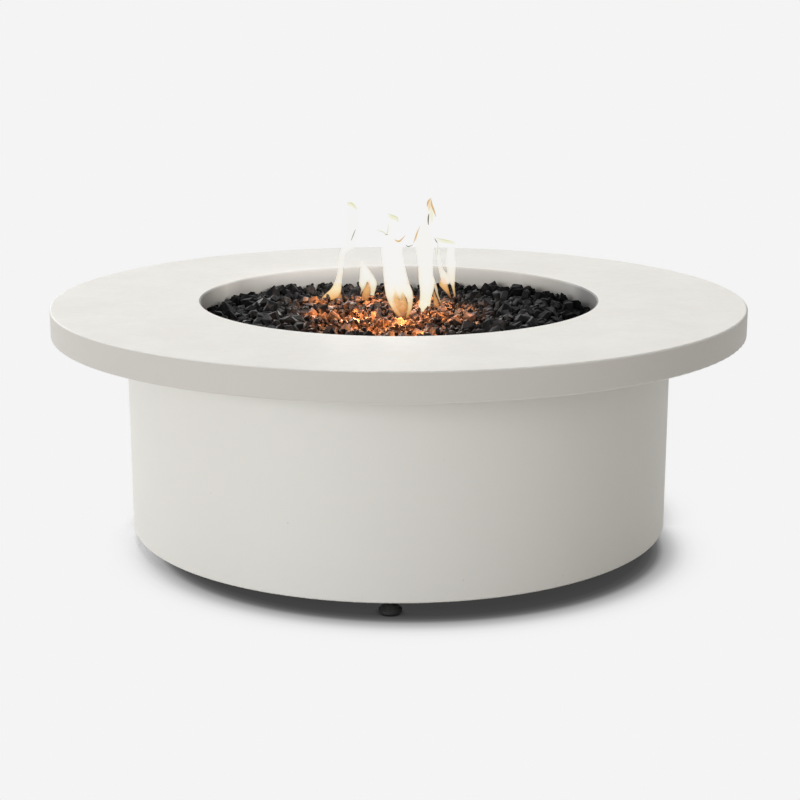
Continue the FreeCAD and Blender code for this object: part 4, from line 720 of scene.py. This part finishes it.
def screwTree(look):
    tree, sockets, add = newGeometryTree("socket head fastener", {
        "Places": "Geometry", "Head radius": "Float", "Head height": "Float", "Shank radius": "Float",
        "Shank length": "Float", "Drive radius": "Float", "Drive depth": "Float", "Drive sides": "Int",
        "Finish": "Material"}, "Fasteners")
    given = add("NodeGroupInput").outputs

    def lifted(mesh, height, share):
        rise = add("Math", {0: height, 1: share}, operation="MULTIPLY")
        up = add("CombineXYZ", {"Z": rise})
        return add("GeometryNodeTransform", {"Geometry": mesh, "Translation": up})

    head = add("GeometryNodeMeshCylinder", {"Vertices": look["headSides"],
                                            "Side Segments": look["headSteps"],
                                            "Radius": given["Head radius"], "Depth": given["Head height"]})
    spot = add("GeometryNodeInputPosition")
    level = add("SeparateXYZ", {0: spot})
    nearTop = add("Math", {0: given["Head height"], 1: look["topFrom"]}, operation="MULTIPLY")
    isTop = add("FunctionNodeCompare",
                {"A": level.outputs["Z"], "B": nearTop}, data_type="FLOAT", operation="GREATER_THAN")
    drawIn = add("VectorMath",
                 {0: spot, 1: (-look["topDrawnIn"], -look["topDrawnIn"], 0)}, operation="MULTIPLY")
    rounded = add("GeometryNodeSetPosition", {"Geometry": head, "Selection": isTop, "Offset": drawIn})
    raised = lifted(rounded, given["Head height"], 0.5)
    twice = add("Math", {0: given["Drive depth"], 1: 2.0}, operation="MULTIPLY")
    socket = add("GeometryNodeMeshCylinder",
                 {"Vertices": given["Drive sides"], "Radius": given["Drive radius"], "Depth": twice})
    drilled = add("GeometryNodeMeshBoolean", {"Mesh 1": raised,
                                              "Mesh 2": lifted(socket, given["Head height"], 1.0)},
                  operation="DIFFERENCE", solver="EXACT")
    overlap = add("Math", {0: given["Shank length"], 1: look["overlap"]}, operation="ADD")
    shank = add("GeometryNodeMeshCylinder",
                {"Vertices": look["shankSides"], "Radius": given["Shank radius"], "Depth": overlap})
    below = add("Math", {0: look["overlap"], 1: given["Shank length"]}, operation="SUBTRACT")
    whole = add("GeometryNodeMeshBoolean", operation="UNION", solver="EXACT")
    for part in (drilled, lifted(shank, below, 0.5)):
        setInputs(whole, {"Mesh 2": part})
    way = add("GeometryNodeInputNamedAttribute", {"Name": "way"}, data_type="FLOAT_VECTOR")
    turned = add("FunctionNodeAlignRotationToVector", {"Vector": way}, axis="Z")
    placed = add("GeometryNodeInstanceOnPoints",
                 {"Points": given["Places"], "Instance": whole, "Rotation": turned})
    real = add("GeometryNodeRealizeInstances", {"Geometry": placed})
    smooth = add("GeometryNodeSetShadeSmooth", {"Geometry": real, "Shade Smooth": True})
    fold = add("GeometryNodeInputMeshEdgeAngle")
    soft = add("FunctionNodeCompare",
               {"A": fold, "B": look["softBelow"]}, data_type="FLOAT", operation="LESS_THAN")
    edged = add("GeometryNodeSetShadeSmooth", {"Geometry": smooth, "Shade Smooth": soft}, domain="EDGE")
    finished = add("GeometryNodeSetMaterial", {"Geometry": edged, "Material": given["Finish"]})
    add("NodeGroupOutput", {"Fasteners": finished})
    return tree, sockets


def driveFasteners(look, finish):
    tree, sockets = screwTree(fastenerShape)
    for name, own in look.items():
        found = findFasteners(nodes[name])
        whole = bmesh.new()
        for sizes in sorted({entry[2] for entry in found}):
            same = [entry for entry in found if entry[2] == sizes]
            points = bpy.data.meshes.new("fastener places")
            points.from_pydata([tuple(seat) for seat, way, _ in same], [], [])
            ways = [part for seat, way, _ in same for part in way]
            points.attributes.new("way", "FLOAT_VECTOR", "POINT").data.foreach_set("vector", ways)
            values = dict(zip(("Head radius", "Head height", "Shank radius", "Shank length"), sizes))
            values.update({"Drive radius": own["drive"], "Drive depth": own["depth"],
                           "Drive sides": own["sides"], "Finish": finish})
            whole.from_mesh(growMesh(addObject("fastener places", points), tree, sockets, values))
        mesh = bpy.data.meshes.new("socket_head_" + name)
        whole.to_mesh(mesh)
        whole.free()
        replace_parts(newPiece("socket_head_" + name, mesh, own["body"], finish), name)
        print(name, "made again:", len(found), "of", len({entry[2] for entry in found}), "sizes")


driveFasteners(fasteners, zincSteel)


# flames, for the picture only: burning gas isn't a piece of the table

flameLook = {
    # each kind of gas: its colour, by height where it changes, how soon it hides what is behind it (per
    # metre), and between which two levels it fades in
    "gases": {
        "body": ([(0.376, "#F0AE66"), (0.398, "#FFF1D6"), (0.432, "#F5F4F3")], 340, (0.405, 0.436)),
        "root": ([(0.367, "#E39A50"), (0.377, "#F2C083"), (0.390, "#FBE8C4"), (0.404, "#F6F2EA"),
                  (0.450, "#F3F3F2")], 420, (0.360, 0.374)),
        "pale": ([(0.366, "#F6E3B8"), (0.380, "#F7F3E4"), (0.404, "#F4F3F0")], 420, (0.360, 0.370)),
        "core": ([(0.370, "#E09A5C"), (0.392, "#F4C48C"), (0.430, "#F8E2B8")], 260, (0.362, 0.392)),
        "veil": ([(0.370, "#C06E38"), (0.386, "#EDB078"), (0.404, "#F8D0A0"), (0.418, "#F9E2BC")],
                 280, (0.368, 0.404)),
        "lemon": ("#E9E9B8", 150, (0.36, 0.37)),
        "gold": ("#F0C878", 170, (0.36, 0.37)),
        "yellow": ("#D3D39A", 380, (0.36, 0.37)),
        "amber": ("#CF9E3C", 520, (0.36, 0.37)),
        "soot": ("#5E5232", 1100, (0.36, 0.37)),
    },
    "thinEdge": (1.0, 0.74, 0.46),   # red fills in first, so thin gas looks orange
    "flatness": 0.55, "sides": 14, "steps": 4, "thinnest": 0.4, "voxel": 0.0012,
    "softening": (0.5, 3), "wispSides": 2, "wispEnd": 0.35,
    # each tongue: its kind, how far behind the axis it stands, then middle, height and half width up it, mm
    "tongues": {
        "left": [
            ("root", 170, [(-139, 366, 2.0), (-131, 370, 9.0), (-124, 376, 14.0), (-118, 383, 13.0),
                (-113, 391, 9.8), (-109, 404, 6.8), (-105, 424, 5.0), (-103, 444, 5.0), (-100, 456, 6.5),
                (-89, 469, 12.0), (-83, 493, 10.0), (-82, 523, 10.0), (-82, 541, 8.0), (-84, 548, 2.0)]),
            ("core", 164, [(-112, 366, 9.0), (-110, 374, 9.0), (-107, 382, 4.0), (-105, 388, 1.0)]),
        ],
        "small": [
            ("pale", 165, [(-72, 376, 0.6), (-68, 384, 1.6), (-65, 392, 3.5), (-65, 400, 7.0),
                (-62, 413, 8.8), (-62, 421, 8.5), (-64, 433, 4.8), (-67, 445, 1.0)]),
            ("pale", 160, [(-46, 368, 0.8), (-48, 378, 3.6), (-46, 393, 5.6), (-47, 403, 8.0),
                (-52, 413, 9.2), (-58, 426, 6.5), (-64, 438, 3.0)]),
            ("core", 150, [(-62, 368, 4.0), (-60, 378, 7.0), (-57, 392, 7.0), (-54, 404, 4.0),
                (-53, 412, 1.0)]),
        ],
        "large": [
            ("body", 0, [(3, 384, 14.0), (3, 394, 21.5), (3, 404, 23.3), (1, 415, 23.5), (-3, 428, 22.3),
                (-6, 444, 20.7), (-8, 459, 19.3), (-11, 478, 18.3), (-11, 493, 18.0), (-11, 503, 14.2),
                (-13, 512, 8.0), (-12, 526, 6.6), (-10, 539, 7.3), (-12, 547, 4.2)]),
            ("root", 0, [(11, 365, 0.8), (4, 371, 3.0), (-3, 380, 4.6), (-10, 391, 5.0), (-14, 403, 6.5),
                (-15, 415, 8.5), (-16, 428, 9.0)]),
            ("root", -5, [(11, 366, 1.0), (16, 377, 3.4), (19, 389, 4.2), (19, 402, 5.6), (15, 416, 8.5),
                (10, 428, 9.0)]),
            ("root", -6, [(5, 394, 0.6), (3, 400, 1.6), (2, 406, 2.8), (1, 412, 4.4), (1, 420, 7.0),
                (0, 430, 8.0)]),
            ("veil", -12, [(5, 366, 2.0), (4, 374, 8.0), (2, 384, 11.5), (-2, 393, 8.5), (-5, 402, 6.5),
                (-5, 411, 5.0), (-5, 419, 1.0)]),
            ("veil", -13, [(8, 372, 4.0), (9, 384, 7.0), (9, 394, 7.0), (8, 402, 5.5), (7, 409, 4.0),
                (6, 415, 1.0)]),
        ],
        "tall": [
            ("pale", 62, [(44, 366, 5.0), (44, 370, 9.5), (45, 375, 11.0), (45, 381, 10.6), (47, 394, 10.6),
                (49, 410, 12.8), (48, 425, 13.9), (47, 437, 13.2), (46, 461, 13.6), (45, 484, 16.4),
                (46, 498, 13.5), (48, 517, 8.9), (51, 527, 8.4), (54, 536, 9.6), (54, 546, 8.0),
                (53, 556, 5.8), (55, 566, 1.7)]),
            ("root", 66, [(77, 374, 0.8), (73, 384, 1.6), (70, 392, 2.0), (67, 400, 2.4), (65, 409, 3.1),
                (62, 419, 3.4), (59, 429, 3.4)]),
            ("core", 60, [(64, 368, 3.0), (66, 376, 5.0), (65, 386, 4.5), (62, 398, 3.0), (60, 412, 1.0)]),
        ],
        "right": [
            ("root", 157, [(104, 368, 0.8), (101, 380, 2.0), (98, 396, 3.2), (95, 414, 6.7), (94, 434, 8.3),
                (93, 454, 8.0), (94, 470, 6.5), (96, 478, 3.5)]),
            ("root", 155, [(84, 402, 6.0), (84, 408, 8.3), (81, 418, 7.5), (74, 434, 4.0), (71, 455, 3.6),
                (69, 471, 3.4), (67, 482, 3.0)]),
            ("core", 150, [(94, 376, 2.0), (90, 384, 3.0), (84, 394, 6.0), (80, 402, 8.0), (80, 410, 6.0),
                (80, 416, 2.0)]),
        ],
    },
    # thin wisps at the tips: kind, how far behind the axis, half width, then across and height along each, mm
    "wisps": [
        ("lemon", 168, 4.2, [(-92, 543), (-86, 545), (-80, 541), (-75, 534)]),
        ("yellow", 160, 1.4, [(-92, 547), (-87, 548), (-80, 544), (-74, 535)]),
        ("soot", 158, 1.2, [(-77, 500), (-81, 490), (-85, 480)]),
        ("lemon", -10, 3.6, [(-18, 546), (-12, 544), (-5, 542), (-1, 536)]),
        ("yellow", -16, 1.3, [(-19, 551), (-13, 548), (-6, 546), (-1, 543), (-1, 536)]),
        ("yellow", -16, 1.2, [(-38, 523), (-30, 521), (-25, 519), (-20, 514), (-18, 522), (-17, 534)]),
        ("soot", -18, 0.9, [(-23, 516), (-20, 514), (-18, 516)]),
        ("amber", -16, 1.5, [(-7, 507), (-2, 503), (4, 505), (11, 514)]),
        ("gold", -12, 2.6, [(-7, 505), (-1, 501), (5, 504)]),
        ("soot", 18, 0.9, [(12, 493), (14, 490), (19, 490), (25, 493)]),
        ("amber", 38, 1.3, [(25, 492), (28, 500), (31, 509), (37, 523)]),
        ("gold", 42, 2.8, [(29, 495), (30, 505), (33, 516)]),
        ("gold", 58, 4.6, [(55, 564), (53, 556), (52, 546)]),
        ("amber", 54, 1.7, [(56, 568), (52, 565), (49, 558), (49, 553)]),
        ("amber", 54, 1.8, [(56, 566), (56, 557), (61, 546), (64, 536)]),
        ("lemon", 56, 4.4, [(56, 552), (57, 540), (57, 526)]),
        ("soot", 48, 1.9, [(52, 542), (50, 534), (51, 523)]),
        ("soot", 148, 1.4, [(64, 485), (67, 480), (69, 477)]),
        ("lemon", 150, 3.4, [(68, 482), (78, 480), (90, 479), (102, 475)]),
        ("yellow", 146, 1.2, [(62, 487), (72, 485), (86, 482), (101, 479)]),
        ("yellow", 146, 1.8, [(70, 477), (69, 465), (69, 454)]),
    ],
}


def makeFlame(name, tones, density, fade, thinEdge):
    # burning gas, propane drawn out by the draught: it glows and hides what is behind it in the same measure,
    # so the eye sees its own colour where it is thick and an orange edge where it is thin
    material = bpy.data.materials.new("burning gas " + name)
    add = partial(addNode, emptyTree(material))
    place = add("TexCoord").outputs["Object"]
    height = add("SeparateXYZ", {0: place}).outputs["Z"]
    plain = isinstance(tones, str)
    tone = linear(tones) if plain else toneRamp(add, height, tones)
    edge = (1.0, 1.0, 1.0) if plain else thinEdge
    tinted = add("Mix", {0: 1.0, 6: tone, 7: (*edge, 1.0)}, data_type="RGBA", blend_type="MULTIPLY")
    fill = add("MapRange",
               {"Value": height, "From Min": fade[0], "From Max": fade[1], "To Min": 0.0, "To Max": density})
    glow = add("Emission", {"Color": tinted, "Strength": fill})
    veil = add("VolumeAbsorption", {"Color": [1 - part for part in edge] + [1.0], "Density": fill})
    gas = add("AddShader", {0: glow, 1: veil})
    add("OutputMaterial", {"Volume": gas})
    return material


def smoothRows(rows, steps):
    # rows between each pair, on a smooth curve through them
    out = []
    for i in range(len(rows) - 1):
        before, a = rows[max(i - 1, 0)], rows[i]
        b, after = rows[i + 1], rows[min(i + 2, len(rows) - 1)]
        for s in range(steps):
            t = s / steps
            out.append([0.5 * (2 * q + (r - p) * t + (2 * p - 5 * q + 4 * r - w) * t * t
                               + (3 * q - p - 3 * r + w) * t ** 3)
                        for p, q, r, w in zip(before, a, b, after)])
    return out + [list(rows[-1])]


def addTongue(shape, behind, rows, look):
    sides = look["sides"]
    rings = []
    for middle, level, half in smoothRows(rows, look["steps"]):
        half = max(half, look["thinnest"])
        ring = []
        for i in range(sides):
            a = 2 * math.pi * i / sides
            ring.append(shape.verts.new(inPhoto(middle + half * math.cos(a),
                                                behind + half * look["flatness"] * math.sin(a), level)))
        rings.append(ring)
    for low, high in zip(rings, rings[1:]):
        for i in range(sides):
            shape.faces.new((low[i], low[(i + 1) % sides], high[(i + 1) % sides], high[i]))
    shape.faces.new(list(reversed(rings[0])))
    shape.faces.new(rings[-1])


def mergeTongues(name, shape, look):
    # one skin round tongues that run into each other
    mesh = bpy.data.meshes.new(name)
    shape.to_mesh(mesh)
    holder = addObject(name, mesh)
    join = holder.modifiers.new("one body", "REMESH")
    join.mode = "VOXEL"
    join.voxel_size = look["voxel"]
    soften = holder.modifiers.new("soften", "SMOOTH")
    soften.factor, soften.iterations = look["softening"]
    return plainMesh(holder)


def bendWisp(behind, half, path, look):
    line = bpy.data.curves.new("wisp", "CURVE")
    line.dimensions = "3D"
    line.bevel_depth = half / 1000
    line.bevel_resolution = look["wispSides"]
    line.use_fill_caps = True
    run = line.splines.new("NURBS")
    run.points.add(len(path) - 1)
    for i, (point, (across, level)) in enumerate(zip(run.points, path)):
        point.co = (*inPhoto(across, behind, level), 1.0)
        point.radius = look["wispEnd"] if i in (0, len(path) - 1) else 1.0
    run.order_u = min(3, len(path))
    run.use_endpoint_u = True
    return plainMesh(addObject("wisp", line))


def stageFlame(name, mesh, material):
    flame = addObject(name, mesh)
    mesh.materials.clear()
    mesh.materials.append(material)
    flame.visible_diffuse = flame.visible_glossy = flame.visible_shadow = False


def lightFlames(look):
    gases = {name: makeFlame(name, *own, look["thinEdge"]) for name, own in look["gases"].items()}
    for name, tongues in look["tongues"].items():
        for kind in gases:
            shape = bmesh.new()
            for own, behind, rows in tongues:
                if own == kind:
                    addTongue(shape, behind, rows, look)
            if shape.verts:
                mesh = mergeTongues(f"flame {name} {kind}", shape, look)
                stageFlame(f"flame_{name}_{kind}", mesh, gases[kind])
            shape.free()
    for i, (kind, behind, half, path) in enumerate(look["wisps"]):
        stageFlame(f"flame_wisp_{i}", bendWisp(behind, half, path, look), gases[kind])
    print("flames lit")


lightFlames(flameLook)


# floor and light

studio = {
    "paper": "#F4F4F4", "paperBounce": "#DDDDDB",
    "floorSize": 60.0,
    # the soft shadow round the drum: its middle to the right and forward, the same at the back, how much
    # shorter it is front to back, and its tone at each distance from that middle; close to anything that
    # stands on the paper it is dark too
    "shadowMiddle": (0.023, 0.088), "shadowSquash": 1.09,
    "shadowTones": [(0.360, "#3E3E3E"), (0.392, "#434343"), (0.406, "#505050"), (0.4165, "#686868"),
                    (0.4225, "#868686"), (0.4285, "#A2A2A2"), (0.441, "#BCBCBC"), (0.4555, "#D9D9D9"),
                    (0.468, "#E8E8E8"), (0.485, "#F0F0F0"), (0.503, "#F3F3F3"), (0.530, "#F4F4F4")],
    "contactReach": 0.12, "contactSamples": 16,
    "contactTones": [(0.25, "#2A2A2A"), (0.42, "#5A5A5A"), (0.52, "#C4C4C4"), (0.62, "#F4F4F4")],
    "skyStrength": 0.47, "skyColour": "#FFFCF7",
    # name, level turn from the front towards the left, height above the level, strength, spread, colour
    "suns": [
        ("left window", 40, 5, 2.05, 36, "#FBFDFF"),
        ("side window", 140, 15, 1.08, 50, "#FFFFFF"),
        ("back window", 180, 50, 1.19, 50, "#FFFFFF"),
    ],
    # the flames' own light. mm: across, behind the axis, height, then watts
    "embers": [(-135, 90, 414, 1.3), (-128, -20, 414, 1.4), (-68, -10, 414, 3.3), (-55, -120, 414, 1.9),
               (2, -75, 414, 3.5), (58, -20, 414, 2.1), (30, -160, 414, 1.5), (98, 55, 414, 1.4),
               (60, 130, 414, 1.1), (-118, -120, 414, 0.4), (108, -40, 414, 0.8), (-50, 130, 414, 1.7),
               (12, 130, 414, 1.5), (20, 60, 414, 1.1), (-20, 210, 414, 0.6)],
    "emberSpread": 128,   # degrees, downwards only, so that the rock at the ends stays black
    "emberColour": "#FFA860", "emberSize": 0.008,
    "flameLight": [(-95, 165, 445, 0.60), (-6, 0, 445, 0.30), (50, 64, 450, 0.20)],
    "flameColour": "#FFF8EE", "flameSize": 0.03,
}


def seenDirectly(add):
    # 1 for the rays that show the paper or the sky itself, 0 for those that only light the table
    rays = add("LightPath").outputs
    seen = add("Math", {0: rays["Is Camera Ray"], 1: rays["Is Glossy Ray"]}, operation="MAXIMUM")
    return add("Math", {0: seen, 1: rays["Is Transmission Ray"]}, operation="MAXIMUM")


def makePaper(look):
    # matt paper roll, a wide smooth sheet: an even pale ground on which only the table's shadow shows
    material = bpy.data.materials.new("studio paper")
    add = partial(addNode, emptyTree(material))
    seen = seenDirectly(add)
    place = add("TexCoord").outputs["Object"]
    across, forward = look["shadowMiddle"]
    spot = add("SeparateXYZ", {0: place})
    bothWays = add("Math", {0: spot.outputs["Y"]}, operation="ABSOLUTE")
    mirrored = add("CombineXYZ", {"X": spot.outputs["X"], "Y": bothWays})
    spread = add("Mapping", {"Vector": mirrored, "Location": (-across, -forward * look["shadowSquash"], 0),
                             "Scale": (1, look["shadowSquash"], 0)}, vector_type="POINT")
    away = add("VectorMath", {0: spread}, operation="LENGTH")
    near = add("AmbientOcclusion", {"Distance": look["contactReach"]}, samples=look["contactSamples"])
    shade = add("Mix", {0: 1.0, 6: toneRamp(add, away, look["shadowTones"]),
                        7: toneRamp(add, near.outputs["AO"], look["contactTones"])},
                data_type="RGBA", blend_type="DARKEN")
    shown = add("Emission", {"Color": shade})
    bounce = add("BsdfDiffuse", {"Color": linear(look["paperBounce"])})
    both = add("MixShader", {0: seen, 1: bounce, 2: shown})
    under = add("NewGeometry").outputs["Backfacing"]
    clear = add("BsdfTransparent")
    paper = add("MixShader", {0: under, 1: both, 2: clear})
    add("OutputMaterial", {"Surface": paper})
    return material


def layPaper(look):
    half = look["floorSize"] / 2
    mesh = bpy.data.meshes.new("studio floor")
    corners = [(-half, -half, 0), (half, -half, 0), (half, half, 0), (-half, half, 0)]
    mesh.from_pydata(corners, [], [(0, 1, 2, 3)])
    floor = addObject("studio_floor", mesh)
    mesh.materials.append(makePaper(look))


def hangSky(look):
    world = bpy.data.worlds.new("studio")
    scene.world = world
    add = partial(addNode, emptyTree(world))
    seen = seenDirectly(add)
    sky = add("Background", {"Color": linear(look["skyColour"]), "Strength": look["skyStrength"]})
    paper = add("Background", {"Color": linear(look["paper"]), "Strength": 1.0})
    both = add("MixShader", {0: seen, 1: sky, 2: paper})
    add("OutputWorld", {"Surface": both})


def setLamps(look):
    for name, aside, height, strength, spread, colour in look["suns"]:
        light = bpy.data.lights.new(name, "SUN")
        light.energy = strength
        light.angle = math.radians(spread)
        light.color = linear(colour)[:3]
        lamp = addObject(name, light)
        a, e = math.radians(aside), math.radians(height)
        towards = Vector((-math.sin(a) * math.cos(e), -math.cos(a) * math.cos(e), math.sin(e)))
        lamp.rotation_mode = "QUATERNION"
        lamp.rotation_quaternion = towards.to_track_quat("Z", "Y")
    glowing = bpy.data.collections.new("lit by the embers")   # orange light on the rock, not on the pale wall
    glowing.objects.link(lavaRock)
    for kind, own, shape in (("embers", "ember", "SPOT"), ("flameLight", "flame", "POINT")):
        for i, (across, behind, level, watts) in enumerate(look[kind]):
            light = bpy.data.lights.new(f"{kind} {i}", shape)
            light.energy = watts
            light.shadow_soft_size = look[own + "Size"]
            light.color = linear(look[own + "Colour"])[:3]
            lamp = addObject(light.name, light)
            lamp.location = inPhoto(across, behind, level)
            if shape == "SPOT":
                light.spot_size, light.spot_blend = math.radians(look["emberSpread"]), 1.0
                lamp.light_linking.receiver_collection = glowing


layPaper(studio)
hangSky(studio)
setLamps(studio)
print("studio set")
